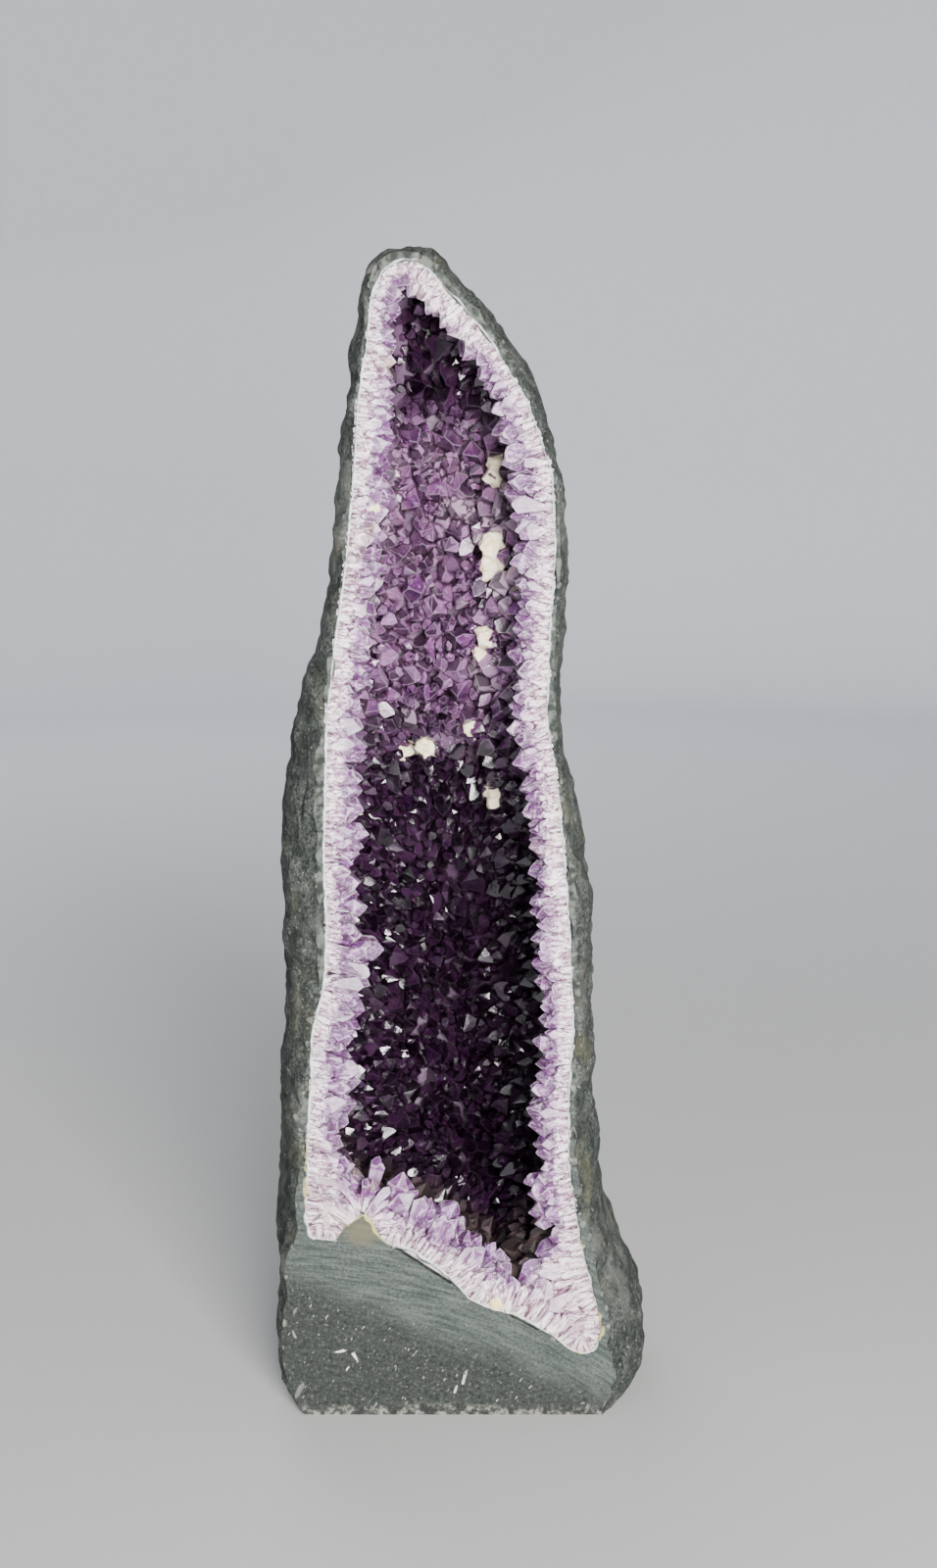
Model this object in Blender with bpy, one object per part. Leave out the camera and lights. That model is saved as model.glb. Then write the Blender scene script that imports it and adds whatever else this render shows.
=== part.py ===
"""Amethyst cathedral geode: a tall basalt shell, sawn flat in front, with a crust of crystals in its hollow.

Units are metres, +Z up. The sawn front face looks along -Y and the object stands on its sawn bottom.
While it is modelled, the front face lies in the plane Y = 0 and the bottom in the plane Z = 0.
At the end both pieces are set back together so that the origin is the middle of the bottom of the box.
"""

import math

import bmesh
import bpy
import numpy as np
from mathutils import Matrix, Vector, noise
from mathutils.bvhtree import BVHTree

# Outer form of the basalt, by height. x is the width direction as seen from the front, y the depth behind
# the front face: height, left side, left edge of the front face, right edge of it, right side, depth of
# the widest place, depth of the back.
ROCK_STATIONS = (
    (-0.110, -0.120, -0.108, 0.085, 0.100, 0.075, 0.190),
    (-0.020, -0.141, -0.129, 0.104, 0.122, 0.075, 0.217),
    (0.000, -0.152, -0.139, 0.112, 0.134, 0.075, 0.228),
    (0.014, -0.158, -0.144, 0.118, 0.143, 0.075, 0.236),
    (0.035, -0.161, -0.147, 0.119, 0.147, 0.075, 0.242),
    (0.070, -0.160, -0.147, 0.114, 0.140, 0.075, 0.247),
    (0.110, -0.157, -0.144, 0.108, 0.126, 0.074, 0.249),
    (0.145, -0.155, -0.138, 0.0975, 0.111, 0.072, 0.250),
    (0.180, -0.153, -0.132, 0.088, 0.103, 0.070, 0.250),
    (0.260, -0.150, -0.129, 0.082, 0.102, 0.068, 0.247),
    (0.340, -0.146, -0.120, 0.085, 0.100, 0.066, 0.241),
    (0.410, -0.145, -0.112, 0.082, 0.098, 0.062, 0.232),
    (0.470, -0.144, -0.112, 0.0765, 0.087, 0.058, 0.220),
    (0.510, -0.140, -0.110, 0.0715, 0.079, 0.054, 0.206),
    (0.550, -0.132, -0.109, 0.064, 0.071, 0.050, 0.190),
    (0.600, -0.122, -0.104, 0.063, 0.069, 0.045, 0.172),
    (0.650, -0.107, -0.096, 0.065, 0.070, 0.040, 0.162),
    (0.700, -0.099, -0.089, 0.067, 0.0715, 0.036, 0.155),
    (0.740, -0.094, -0.085, 0.064, 0.068, 0.033, 0.147),
    (0.780, -0.089, -0.082, 0.051, 0.056, 0.030, 0.136),
    (0.820, -0.0835, -0.0775, 0.031, 0.039, 0.028, 0.120),
    (0.850, -0.079, -0.0745, 0.010, 0.022, 0.025, 0.104),
    (0.880, -0.072, -0.068, -0.016, -0.006, 0.022, 0.082),
    (0.894, -0.064, -0.060, -0.027, -0.019, 0.020, 0.062),
    (0.900, -0.054, -0.051, -0.034, -0.030, 0.020, 0.050),
    (0.903, -0.048, -0.046, -0.038, -0.036, 0.020, 0.040),
)
ROCK_SECTION_POWER = 2.5
# The front edge of the basalt lies at most this share of the way out to its side.
EDGE_LIMIT = 0.985
# The heights over which the sections close to a point at the bottom and at the top.
BOTTOM_CLOSING = 0.060
TOP_CLOSING = 0.006
# Between stations further apart than this, rings are added.
RING_STEP = 0.045
# Relief of the natural outside, which is full from this depth on and starts with this share in front.
ROUGH_BEHIND = 0.14
EDGE_ROUGHNESS = 0.20
LUMP_SIZE = 0.075
LUMP_HEIGHT = 0.011
KNOB_SIZE = 0.030
KNOB_HEIGHT = 0.0045
GROOVE_SPACING = 0.055
GROOVE_DEPTH = 0.007
GROOVE_SHARPNESS = 4
ROCK_SEGMENTS = 34

# The hollow in the basalt, which is the outside of the crystal crust, from its slanting floor to its tip.
# Each row is one slice: left x and z, right x and z in the front plane, and depth behind that plane.
HOLLOW_STATIONS = (
    (-0.020, 0.118, -0.018, 0.117, 0.010),
    (-0.060, 0.147, 0.030, 0.088, 0.072),
    (-0.097, 0.165, 0.074, 0.064, 0.120),
    (-0.119, 0.176, 0.099, 0.061, 0.148),
    (-0.1245, 0.195, 0.104, 0.083, 0.168),
    (-0.124, 0.235, 0.088, 0.145, 0.186),
    (-0.120, 0.285, 0.077, 0.215, 0.196),
    (-0.119, 0.320, 0.0765, 0.270, 0.199),
    (-0.109, 0.360, 0.079, 0.330, 0.197),
    (-0.106, 0.410, 0.0765, 0.390, 0.188),
    (-0.1075, 0.460, 0.0715, 0.455, 0.164),
    (-0.105, 0.520, 0.065, 0.520, 0.118),
    (-0.1035, 0.565, 0.057, 0.565, 0.092),
    (-0.0965, 0.620, 0.058, 0.620, 0.085),
    (-0.087, 0.685, 0.062, 0.690, 0.083),
    (-0.081, 0.740, 0.059, 0.745, 0.080),
    (-0.078, 0.790, 0.043, 0.790, 0.074),
    (-0.0705, 0.835, 0.0165, 0.835, 0.064),
    (-0.067, 0.866, -0.0095, 0.866, 0.050),
    (-0.059, 0.884, -0.028, 0.884, 0.036),
    (-0.045, 0.892, -0.043, 0.892, 0.012),
)

# The open space inside the crystals, along the line of their tips, in the same form.
OPENING_STATIONS = (
    (-0.012, 0.170, -0.010, 0.168, 0.008),
    (-0.045, 0.194, 0.028, 0.140, 0.050),
    (-0.078, 0.206, 0.054, 0.124, 0.088),
    (-0.094, 0.215, 0.062, 0.129, 0.112),
    (-0.097, 0.235, 0.056, 0.160, 0.132),
    (-0.091, 0.265, 0.046, 0.205, 0.146),
    (-0.087, 0.300, 0.044, 0.260, 0.154),
    (-0.079, 0.335, 0.046, 0.315, 0.156),
    (-0.074, 0.370, 0.047, 0.360, 0.153),
    (-0.077, 0.405, 0.044, 0.405, 0.145),
    (-0.078, 0.445, 0.041, 0.450, 0.130),
    (-0.072, 0.485, 0.040, 0.488, 0.100),
    (-0.073, 0.520, 0.037, 0.522, 0.066),
    (-0.078, 0.562, 0.034, 0.562, 0.050),
    (-0.074, 0.610, 0.034, 0.610, 0.046),
    (-0.067, 0.660, 0.037, 0.660, 0.045),
    (-0.060, 0.710, 0.040, 0.712, 0.043),
    (-0.057, 0.755, 0.034, 0.755, 0.041),
    (-0.053, 0.800, 0.010, 0.796, 0.037),
    (-0.049, 0.832, -0.010, 0.832, 0.031),
    (-0.047, 0.856, -0.026, 0.858, 0.021),
    (-0.039, 0.870, -0.037, 0.870, 0.008),
)
SLICE_POWER = 2.3
SLICE_SEGMENTS = 20
# Behind the front face the hollow widens by these amounts, most of all halfway between these heights.
BULGE_LEFT = 0.010
BULGE_RIGHT = 0.005
BULGE_LOW = 0.16
BULGE_HIGH = 0.56
# Both hollows reach this far in front of the saw cut, so that the cut opens them.
FRONT_REACH = 0.030

# The basalt and the crust keep this gap, so that they touch without overlapping.
FIT_GAP = 0.0003
# The crystals stand this far out of the solid part of the crust.
TIP_RELIEF = 0.0205

CRYSTAL_SEED = 16
CRYSTAL_TRIES = 16000
CRYSTAL_SPACING = 0.0262
CRYSTAL_RADIUS = (0.0180, 0.0230)
# How far a crystal's prism reaches below the tip's own height, and its taper towards the root.
CRYSTAL_ROOT = 0.022
CRYSTAL_ROOT_SHARE = 0.72
# A crystal's six-sided point is this many radii high, and its tip lies up to this share off the axis.
POINT_HEIGHT = (0.88, 1.20)
TIP_SHIFT = 0.28
CRYSTAL_LEAN = 0.30
HEIGHT_SPREAD = 0.006
# Crystals start on the wall behind the front face and a little in front of it, by this angle.
SIDE_REACH = 0.3
NORMAL_STEP = 0.01

# Cream calcite that grew over the amethyst on the wall behind the opening. Each is where the line from the
# viewpoint through x and z of the front plane meets the wall, with its radius and how far it stands out.
VIEWPOINT = Vector((0.0, -1.336, 0.831))
CALCITE_LEAN = Vector((0.0, -0.4, 0.25))
CALCITE_SPOTS = (
    (0.021, 0.748, 0.013, 0.012),
    (0.017, 0.684, 0.014, 0.014),
    (0.011, 0.624, 0.012, 0.013),
    (-0.037, 0.548, 0.016, 0.013),
    (-0.007, 0.546, 0.013, 0.010),
    (0.017, 0.512, 0.012, 0.015),
)

STONE_COLOUR = (0.115, 0.135, 0.122, 1.0)
CRYSTAL_COLOUR = (0.36, 0.22, 0.46, 1.0)
# The saw cuts are boxes that reach this far past the object.
CUT_REACH = 0.3
MERGE_DISTANCE = 0.00005


def clear_scene():
    for obj in list(bpy.data.objects):
        bpy.data.objects.remove(obj)


def collection_named(name):
    made = bpy.data.collections.new(name)
    bpy.context.scene.collection.children.link(made)
    return made


def material_named(name, colour, roughness, transmission=0.0):
    made = bpy.data.materials.new(name)
    made.use_nodes = True
    shader = made.node_tree.nodes["Principled BSDF"]
    shader.inputs["Base Color"].default_value = colour
    shader.inputs["Roughness"].default_value = roughness
    shader.inputs["Transmission Weight"].default_value = transmission
    made.diffuse_color = colour
    return made


def object_from(name, bm, collection):
    mesh = bpy.data.meshes.new(name)
    bm.to_mesh(mesh)
    bm.free()
    obj = bpy.data.objects.new(name, mesh)
    collection.objects.link(obj)
    return obj


def as_cutter(obj):
    obj.hide_render = True
    obj.display_type = "WIRE"
    return obj


def read_stations(stations, keys, at):
    """One row of the stations, read between its entries."""
    return [float(np.interp(at, keys, column)) for column in zip(*stations)]


def rounded_power(value, power):
    """Cosine or sine of a superellipse of this power."""
    return math.copysign(abs(value) ** (2.0 / power), value)


def sphere_share(z):
    """A unit sphere's height as a share from 0 at its bottom to 1 at its top, even along the surface."""
    return 1.0 - math.acos(max(-1.0, min(1.0, z))) / math.pi


def lumps(point, size, amount, seed):
    """Smooth noise with bumps of one size; each seed gives a pattern of its own."""
    return amount * noise.noise(point / size + Vector((seed, 2.0 * seed, -seed)))


def ring_heights():
    """The heights of the rock's rings: all stations, and even steps where those are far apart."""
    heights = [ROCK_STATIONS[0][0]]
    for low, high in zip(ROCK_STATIONS, ROCK_STATIONS[1:]):
        steps = math.ceil((high[0] - low[0]) / RING_STEP)
        heights += np.linspace(low[0], high[0], steps + 1)[1:].tolist()
    return heights


def rock_point(direction, heights):
    """Where the basalt's outside lies for one direction of the unit sphere."""
    rings = np.linspace(0.0, 1.0, len(heights))
    height = float(np.interp(sphere_share(direction.z), rings, heights))
    keys = [row[0] for row in ROCK_STATIONS]
    left_side, left_edge, right_edge, right_side, widest, back = read_stations(ROCK_STATIONS, keys, height)[1:]
    bottom_share = (height - heights[0]) / BOTTOM_CLOSING
    top_share = (heights[-1] - height) / TOP_CLOSING
    closing = math.sqrt(min(1.0, bottom_share, top_share))
    middle = (left_edge + right_edge) / 2.0
    angle = math.atan2(direction.y, direction.x)
    across = rounded_power(math.cos(angle), ROCK_SECTION_POWER)
    along = rounded_power(math.sin(angle), ROCK_SECTION_POWER)
    side, edge = (right_side, right_edge) if across > 0 else (left_side, left_edge)
    half_width = abs(side - middle)
    face_share = min(EDGE_LIMIT, abs(edge - middle) / half_width)
    front_radius = widest / (1.0 - face_share**ROCK_SECTION_POWER) ** (1.0 / ROCK_SECTION_POWER)
    radius = back - widest if along > 0 else front_radius
    return Vector(
        (
            middle + across * half_width * closing,
            widest + along * radius * closing,
            height,
        )
    )


def rock_surface_shift(point):
    """Lumps and grooves of the natural outside, quiet beside the front face and stronger at the back."""
    back_share = min(1.0, max(0.0, point.y / ROUGH_BEHIND))
    amount = EDGE_ROUGHNESS + (1.0 - EDGE_ROUGHNESS) * back_share
    shift = lumps(point, LUMP_SIZE, LUMP_HEIGHT, 3.0) + lumps(point, KNOB_SIZE, KNOB_HEIGHT, 7.0)
    groove = (1.0 - abs(lumps(point, GROOVE_SPACING, 1.0, 9.0))) ** GROOVE_SHARPNESS
    return amount * (shift - GROOVE_DEPTH * groove)


def build_rock(collection):
    heights = ring_heights()
    bm = bmesh.new()
    bmesh.ops.create_uvsphere(bm, u_segments=ROCK_SEGMENTS, v_segments=len(heights) - 1, radius=1.0)
    for vertex in bm.verts:
        vertex.co = rock_point(vertex.co, heights)
    bm.normal_update()
    shifts = [vertex.normal * rock_surface_shift(vertex.co) for vertex in bm.verts]
    for vertex, shift in zip(bm.verts, shifts):
        vertex.co += shift
    bmesh.ops.recalc_face_normals(bm, faces=bm.faces)
    return object_from("basalt_shell", bm, collection)


def slice_point(direction, stations):
    """Where a hollow lies for one direction of the unit sphere: its slices follow the stations."""
    keys = np.linspace(0.0, 1.0, len(stations))
    left_x, left_z, right_x, right_z, depth = read_stations(stations, keys, sphere_share(direction.z))
    angle = math.atan2(direction.y, direction.x)
    across = rounded_power(math.cos(angle), SLICE_POWER)
    along = rounded_power(math.sin(angle), SLICE_POWER)
    x = (left_x + right_x) / 2.0 + across * (right_x - left_x) / 2.0
    z = (left_z + right_z) / 2.0 + across * (right_z - left_z) / 2.0
    y = along * (depth if along > 0 else min(depth, FRONT_REACH))
    if along > 0 and BULGE_LOW < z < BULGE_HIGH:
        swell = math.sin(math.pi * (z - BULGE_LOW) / (BULGE_HIGH - BULGE_LOW))
        swell *= math.sin(math.pi * min(1.0, along)) * abs(across) ** 0.5
        x += swell * (BULGE_RIGHT if across > 0 else -BULGE_LEFT)
    return Vector((x, y, z))


def hollow_mesh(stations, swell=0.0):
    """A closed surface through the stations, moved out along its normals by swell."""
    bm = bmesh.new()
    bmesh.ops.create_uvsphere(bm, u_segments=SLICE_SEGMENTS, v_segments=len(stations) - 1, radius=1.0)
    for vertex in bm.verts:
        vertex.co = slice_point(vertex.co, stations)
    bmesh.ops.triangulate(bm, faces=bm.faces, quad_method="FIXED")
    bmesh.ops.recalc_face_normals(bm, faces=bm.faces)
    bm.normal_update()
    moved = [vertex.co + vertex.normal * swell for vertex in bm.verts]
    for vertex, place in zip(bm.verts, moved):
        vertex.co = place
    return bm


def box_object(name, low, high, collection):
    bm = bmesh.new()
    size = Vector(high) - Vector(low)
    middle = (Vector(high) + Vector(low)) / 2.0
    bmesh.ops.create_cube(bm, size=1.0, matrix=Matrix.Translation(middle) @ Matrix.Diagonal(size.to_4d()))
    return as_cutter(object_from(name, bm, collection))


def apply_boolean(obj, other, operation, use_self=False):
    modifier = obj.modifiers.new(operation.lower(), "BOOLEAN")
    modifier.operation = operation
    modifier.object = other
    modifier.solver = "EXACT"
    modifier.use_self = use_self
    graph = bpy.context.evaluated_depsgraph_get()
    made = bpy.data.meshes.new_from_object(obj.evaluated_get(graph))
    obj.modifiers.clear()
    obj.data = made


def add_crystal(bm, tip, direction, radius, root, rng):
    """One six-sided crystal that ends at tip: a tapered prism whose top face is poked up to a point."""
    point_height = radius * rng.uniform(*POINT_HEIGHT)
    body = root - point_height
    spin = Matrix.Rotation(rng.uniform(0.0, math.tau), 4, "Z")
    place = Matrix.Translation(tip - direction * (root - body / 2.0))
    turn = direction.to_track_quat("Z", "Y").to_matrix().to_4x4()
    made = bmesh.ops.create_cone(
        bm,
        cap_ends=True,
        segments=6,
        radius1=radius * CRYSTAL_ROOT_SHARE,
        radius2=radius,
        depth=body,
        matrix=place @ turn @ spin,
    )
    faces = {face for vertex in made["verts"] for face in vertex.link_faces}
    top = max(faces, key=lambda face: face.calc_center_median().dot(direction))
    apex = bmesh.ops.poke(bm, faces=[top])["verts"][0]
    sideways = Vector(rng.uniform(-1.0, 1.0, 3).tolist())
    apex.co += direction * point_height + sideways * radius * TIP_SHIFT


def surface_normal(direction, stations):
    """The outward normal of a hollow's surface for one direction of the unit sphere."""
    across = direction.orthogonal().normalized() * NORMAL_STEP
    along = direction.cross(across)
    run_across = slice_point(direction + across, stations) - slice_point(direction - across, stations)
    run_along = slice_point(direction + along, stations) - slice_point(direction - along, stations)
    return run_across.cross(run_along).normalized()


def spread_points(stations, spacing, tries, rng):
    """Points on a hollow's surface at least spacing apart, with the inward direction at each."""
    kept = []
    low = (-SIDE_REACH, -math.pi / 2.0)
    high = (math.pi + SIDE_REACH, math.pi / 2.0)
    for turn, rise in rng.uniform(low, high, (tries, 2)).tolist():
        level_part = math.cos(rise)
        direction = Vector((level_part * math.cos(turn), level_part * math.sin(turn), math.sin(rise)))
        point = slice_point(direction, stations)
        if all((point - other).length > spacing for other, _ in kept):
            kept.append((point, -surface_normal(direction, stations)))
    return kept


def build_crystals(collection):
    """The crystals that line the hollow, each rooted in the crust with its point near the opening."""
    rng = np.random.default_rng(CRYSTAL_SEED)
    bm = bmesh.new()
    for point, inward in spread_points(OPENING_STATIONS, CRYSTAL_SPACING, CRYSTAL_TRIES, rng):
        radius = rng.uniform(*CRYSTAL_RADIUS)
        sideways = Vector(rng.normal(0.0, 1.0, 3).tolist()).normalized()
        direction = (inward + sideways * CRYSTAL_LEAN * rng.uniform(0.0, 1.0)).normalized()
        tip = point + inward * rng.uniform(-1.0, 1.0) * HEIGHT_SPREAD
        if tip.y > -radius:
            add_crystal(bm, tip, direction, radius, CRYSTAL_ROOT + radius, rng)
    add_calcite(bm, rng)
    return as_cutter(object_from("crystal_points", bm, collection))


def add_calcite(bm, rng):
    """The calcite, set on the wall of the open space and leaning out of it."""
    surface = hollow_mesh(OPENING_STATIONS)
    tree = BVHTree.FromBMesh(surface)
    for x, z, radius, stand in CALCITE_SPOTS:
        start = Vector((x, 0.0, z))
        hit, normal, _, _ = tree.ray_cast(start, start - VIEWPOINT)
        lean = (CALCITE_LEAN - normal).normalized()
        add_crystal(bm, hit + lean * stand, lean, radius, CRYSTAL_ROOT + stand, rng)
    surface.free()


def build_crust(collection, cutters, front_cut):
    """The filled hollow, less the open space that the crystals leave in it."""
    crust = object_from("amethyst_crust", hollow_mesh(HOLLOW_STATIONS), collection)
    space = as_cutter(object_from("inner_space", hollow_mesh(OPENING_STATIONS, TIP_RELIEF), cutters))
    apply_boolean(space, build_crystals(cutters), "DIFFERENCE", use_self=True)
    apply_boolean(crust, space, "DIFFERENCE")
    apply_boolean(crust, front_cut, "DIFFERENCE")
    return crust


def build_shell(collection, cutters, front_cut):
    """The basalt, less the hollow and what the two saw cuts take off."""
    shell = build_rock(collection)
    low = (-CUT_REACH, -CUT_REACH, -CUT_REACH)
    high = (CUT_REACH, 2.0 * CUT_REACH, 0.0)
    bottom_cut = box_object("bottom_saw_cut", low, high, cutters)
    hollow = as_cutter(object_from("hollow", hollow_mesh(HOLLOW_STATIONS, FIT_GAP), cutters))
    apply_boolean(shell, hollow, "DIFFERENCE")
    apply_boolean(shell, front_cut, "DIFFERENCE")
    apply_boolean(shell, bottom_cut, "DIFFERENCE")
    return shell


def tidy_mesh(obj):
    """Merges the slivers that the cuts leave and splits every face into triangles."""
    bm = bmesh.new()
    bm.from_mesh(obj.data)
    bmesh.ops.remove_doubles(bm, verts=bm.verts, dist=MERGE_DISTANCE)
    bmesh.ops.dissolve_degenerate(bm, dist=MERGE_DISTANCE, edges=bm.edges)
    bmesh.ops.triangulate(bm, faces=bm.faces)
    bm.to_mesh(obj.data)
    bm.free()


def centre_on_origin(shell, others):
    """Moves every piece so that the origin is the middle of the bottom of the shell's box."""
    points = np.array([vertex.co for vertex in shell.data.vertices])
    middle = (points.min(axis=0) + points.max(axis=0)) / 2.0
    for obj in [shell, *others]:
        obj.location = (-middle[0], -middle[1], 0.0)


def main():
    clear_scene()
    geode = collection_named("amethyst_geode")
    cutters = collection_named("cutters")
    low = (-CUT_REACH, -CUT_REACH, -CUT_REACH)
    high = (CUT_REACH, 0.0, 4.0 * CUT_REACH)
    front_cut = box_object("front_saw_cut", low, high, cutters)
    shell = build_shell(geode, cutters, front_cut)
    crust = build_crust(geode, cutters, front_cut)
    tidy_mesh(shell)
    tidy_mesh(crust)
    shell.data.materials.append(material_named("basalt", STONE_COLOUR, 0.85))
    crust.data.materials.append(material_named("amethyst", CRYSTAL_COLOUR, 0.15, 0.3))
    centre_on_origin(shell, [crust])


main()
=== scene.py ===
"""The looks of the amethyst geode: weathered basalt, a crust of grown crystals, agate rind and calcite."""

import math

import bmesh
import bpy
import numpy as np
from mathutils import Matrix, Vector, noise
from mathutils.bvhtree import BVHTree
from mathutils.kdtree import KDTree


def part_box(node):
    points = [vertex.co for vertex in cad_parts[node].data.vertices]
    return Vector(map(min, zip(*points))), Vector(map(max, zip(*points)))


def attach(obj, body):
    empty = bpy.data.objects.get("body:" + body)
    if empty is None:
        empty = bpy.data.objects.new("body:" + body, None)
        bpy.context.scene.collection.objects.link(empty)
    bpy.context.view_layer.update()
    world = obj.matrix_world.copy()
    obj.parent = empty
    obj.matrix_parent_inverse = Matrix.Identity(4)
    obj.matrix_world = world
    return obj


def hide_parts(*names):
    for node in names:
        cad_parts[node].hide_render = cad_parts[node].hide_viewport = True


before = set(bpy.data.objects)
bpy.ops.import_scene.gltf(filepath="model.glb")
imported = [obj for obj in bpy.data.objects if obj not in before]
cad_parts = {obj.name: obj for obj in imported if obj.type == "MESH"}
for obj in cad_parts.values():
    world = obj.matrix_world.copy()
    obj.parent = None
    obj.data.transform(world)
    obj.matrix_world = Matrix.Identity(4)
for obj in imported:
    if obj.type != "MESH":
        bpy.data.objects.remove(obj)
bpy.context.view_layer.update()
SHELL_LOW, SHELL_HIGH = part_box("basalt_shell")
FRONT = SHELL_LOW[1]

# The photograph's camera: its size in pixels, focal length, downward tilt, and place before the sawn front.
PHOTO_WIDTH = 956
PHOTO_HEIGHT = 1600
FOCAL_PIXELS = 1900.0
SENSOR_HEIGHT = 36.0
CAMERA_TILT = math.atan(445.0 / FOCAL_PIXELS)
CAMERA_DISTANCE = 1.336
CAMERA_HEIGHT = 0.8313
# The middle of the picture lies this far right of the middle of the box.
CAMERA_SIDE = 0.0048
CAMERA_PLACE = Vector((CAMERA_SIDE, FRONT - CAMERA_DISTANCE, CAMERA_HEIGHT))

UP = Vector((0.0, 0.0, 1.0))
TO_FRONT = Vector((0.0, -1.0, 0.0))
# Faces and corners this close to a sawn plane lie on it.
FLAT = 0.0001
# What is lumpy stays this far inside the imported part's box.
MARGIN = 0.0003

# Keeps the lumps of the quartz and the calcite the same in each run.
NOISE_SEED = 5

# Rock relief, in metres.
ROCK_VOXEL = 0.0036
ROCK_SMOOTHING = 36
SAWING_ALLOWANCE = 0.024
# The corners of the base are rounded below this height, by this much.
CORNER_HEIGHT = 0.018
CORNER_PULL = 0.005
WALL_BLEND = 0.016
WALL_LEAST = 0.004
LUMP_SIZE = 0.030
LUMP_HEIGHT = 0.0042
KNOB_SIZE = 0.012
KNOB_HEIGHT = 0.0022
RIDGE_SIZE = 0.019
RIDGE_HEIGHT = 0.0014
PIT_SIZE = 0.0065
PIT_DEPTH = 0.0016

# The crust's thickness is read from just inside the wall, dropped past these limits, and then taken as a
# percentile of the nearest samples.
PROBE_START = 0.0012
PROBE_REACH = 0.09
CRUST_LIMITS = (0.008, 0.075)
NEAR_SAMPLES = 40
NEAR_PERCENTILE = 72

# Crystals inside: radius classes with how many places are tried for each, biggest first.
CRYSTAL_SEED = 5
RADIUS_CLASSES = ((0.0122, 700), (0.0098, 3000), (0.0076, 8000), (0.0058, 16000), (0.0044, 20000))
RADIUS_SPREAD = 0.12
CROWDING = 0.60
TIP_SCATTER = 0.0040
SMALL_SINK = 0.50
# Large crystals lean this much, and the smallest nearly twice as much.
LEAN = 0.20
FORM_COUNT = 24
# A crystal is left out if its middle is further from the wall than this share of its reach.
FREE_SHARE = 0.75
# Crystals may touch if their axes come closer than this many times the sum of their radii.
TOUCHING = 1.5
# How deep the crystals are rooted in the quartz under them.
ROOT_DEPTH = 0.004
# The crystals are joined in two pieces that meet at this height.
PIECE_HEIGHT = 0.43
# The faces of a crystal's point are this steep, and its root is this share as wide as its middle.
POINT_SLOPE = math.radians(51.8)
ROOT_TAPER = 0.85
QUARTZ_IOR = 1.544
FRONT_ZONE = 0.013
# The faces of a point rise this much of the radius towards their middle.
FACET_RISE = 0.016

# Crystals along the sawn front, layer by layer: how far across the band their points reach,
# radius, spacing, and depth of the axis behind the front.
RIM_LAYERS = (
    (1.00, 0.0094, 0.0112, 0.0135),
    (0.96, 0.0076, 0.0100, 0.0066),
    (0.76, 0.0054, 0.0078, 0.0042),
    (0.56, 0.0038, 0.0056, 0.0032),
    (0.38, 0.0026, 0.0038, 0.0024),
)
RIM_REACH_SPREAD = 0.11
RIM_RADIUS_SPREAD = 0.16
RIM_LEAN = 0.17
RIM_FORWARD = 0.16
RIM_ROOT = 0.0015
RIM_RECESS = 0.0016
RIM_TILT = 0.30
RIM_TAPER = 0.55
RIM_STEP = 0.002
BAND_WINDOW = 9
BAND_GROWTH = 0.003
BAND_LEAST = 0.026
# The widest that the band may be: above and below these heights.
BAND_HEIGHTS = (0.74, 0.81)
BAND_MOST = (0.042, 0.021)

# The crust's lower edge on the photograph, in its pixels, from the left side to the right side, with
# a notch of rock in it; how far behind the front this edge reaches; and points well inside it.
LOWER_EDGE = (
    (313, 1200), (311, 1242), (317, 1264), (342, 1267), (352, 1252), (362, 1243), (370, 1238), (379, 1246),
    (386, 1262), (396, 1271), (418, 1275), (441, 1290), (460, 1305), (479, 1327), (502, 1337), (527, 1342),
    (545, 1352), (564, 1363), (580, 1377), (595, 1383), (608, 1377), (616, 1352),
)
EDGE_DEPTH = 0.014
EDGE_INSIDE = ((595, 1335), (520, 1300), (440, 1245), (400, 1225), (340, 1205))
NOTCH = (
    (346, 1272), (352, 1252), (362, 1243), (370, 1238), (379, 1246), (386, 1262), (396, 1271), (400, 1284),
    (370, 1290),
)

# The agate rind between the basalt and the crystals.
RIND_DEPTH = 0.0060
RIND_WIDTH = (0.0002, 0.0017)
RIND_INSIDE = 0.0007
RIND_NOISE_SIZE = 0.011
# Below these heights it grows wider in places, by at most this much.
RIND_LOW = (0.20, 0.27)
RIND_LOW_WIDTH = 0.0042

# Chips along the sawn edges.
CHIP_SEED = 3
CHIP_COUNT = 150
CHIP_RADIUS = (0.0016, 0.0062)

# The massive quartz under the crystals: its share of their height, how far behind the front it begins, and
# how far behind that it has no lumps.
BASE_SHARE = 0.22
BASE_RECESS = 0.0042
BASE_STILL = 0.0035
BASE_VOXEL = 0.0045
BASE_LUMP_SIZE = 0.009
BASE_LUMP_HEIGHT = 0.0016

# Places on the photograph, in its pixels: middle, width and height.
# Cream calcite that grew over the crystals and on the edge of the band.
CALCITE_SPOTS = (
    (508, 478, 26, 40), (501, 556, 22, 30), (503, 578, 26, 26), (494, 648, 17, 30), (489, 668, 16, 22),
    (415, 764, 24, 20), (437, 762, 26, 20), (479, 741, 17, 17), (501, 808, 19, 34), (380, 522, 18, 22),
    (455, 291, 12, 16), (508, 1331, 13, 20),
)
CALCITE_VOXEL = 0.0011
CALCITE_SEED = 8
# Its lumps: size and height, coarse ones first.
CALCITE_LUMPS = ((0.0060, 0.0016), (0.0022, 0.0006))
# Crystals near these are paler, out to this distance in metres.
PALE_SPOTS = (
    (508, 515), (497, 545), (505, 600), (492, 690), (470, 520), (465, 765), (480, 775), (420, 745),
    (450, 750), (545, 965), (330, 1190),
)
PALE_REACH = 0.015
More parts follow.
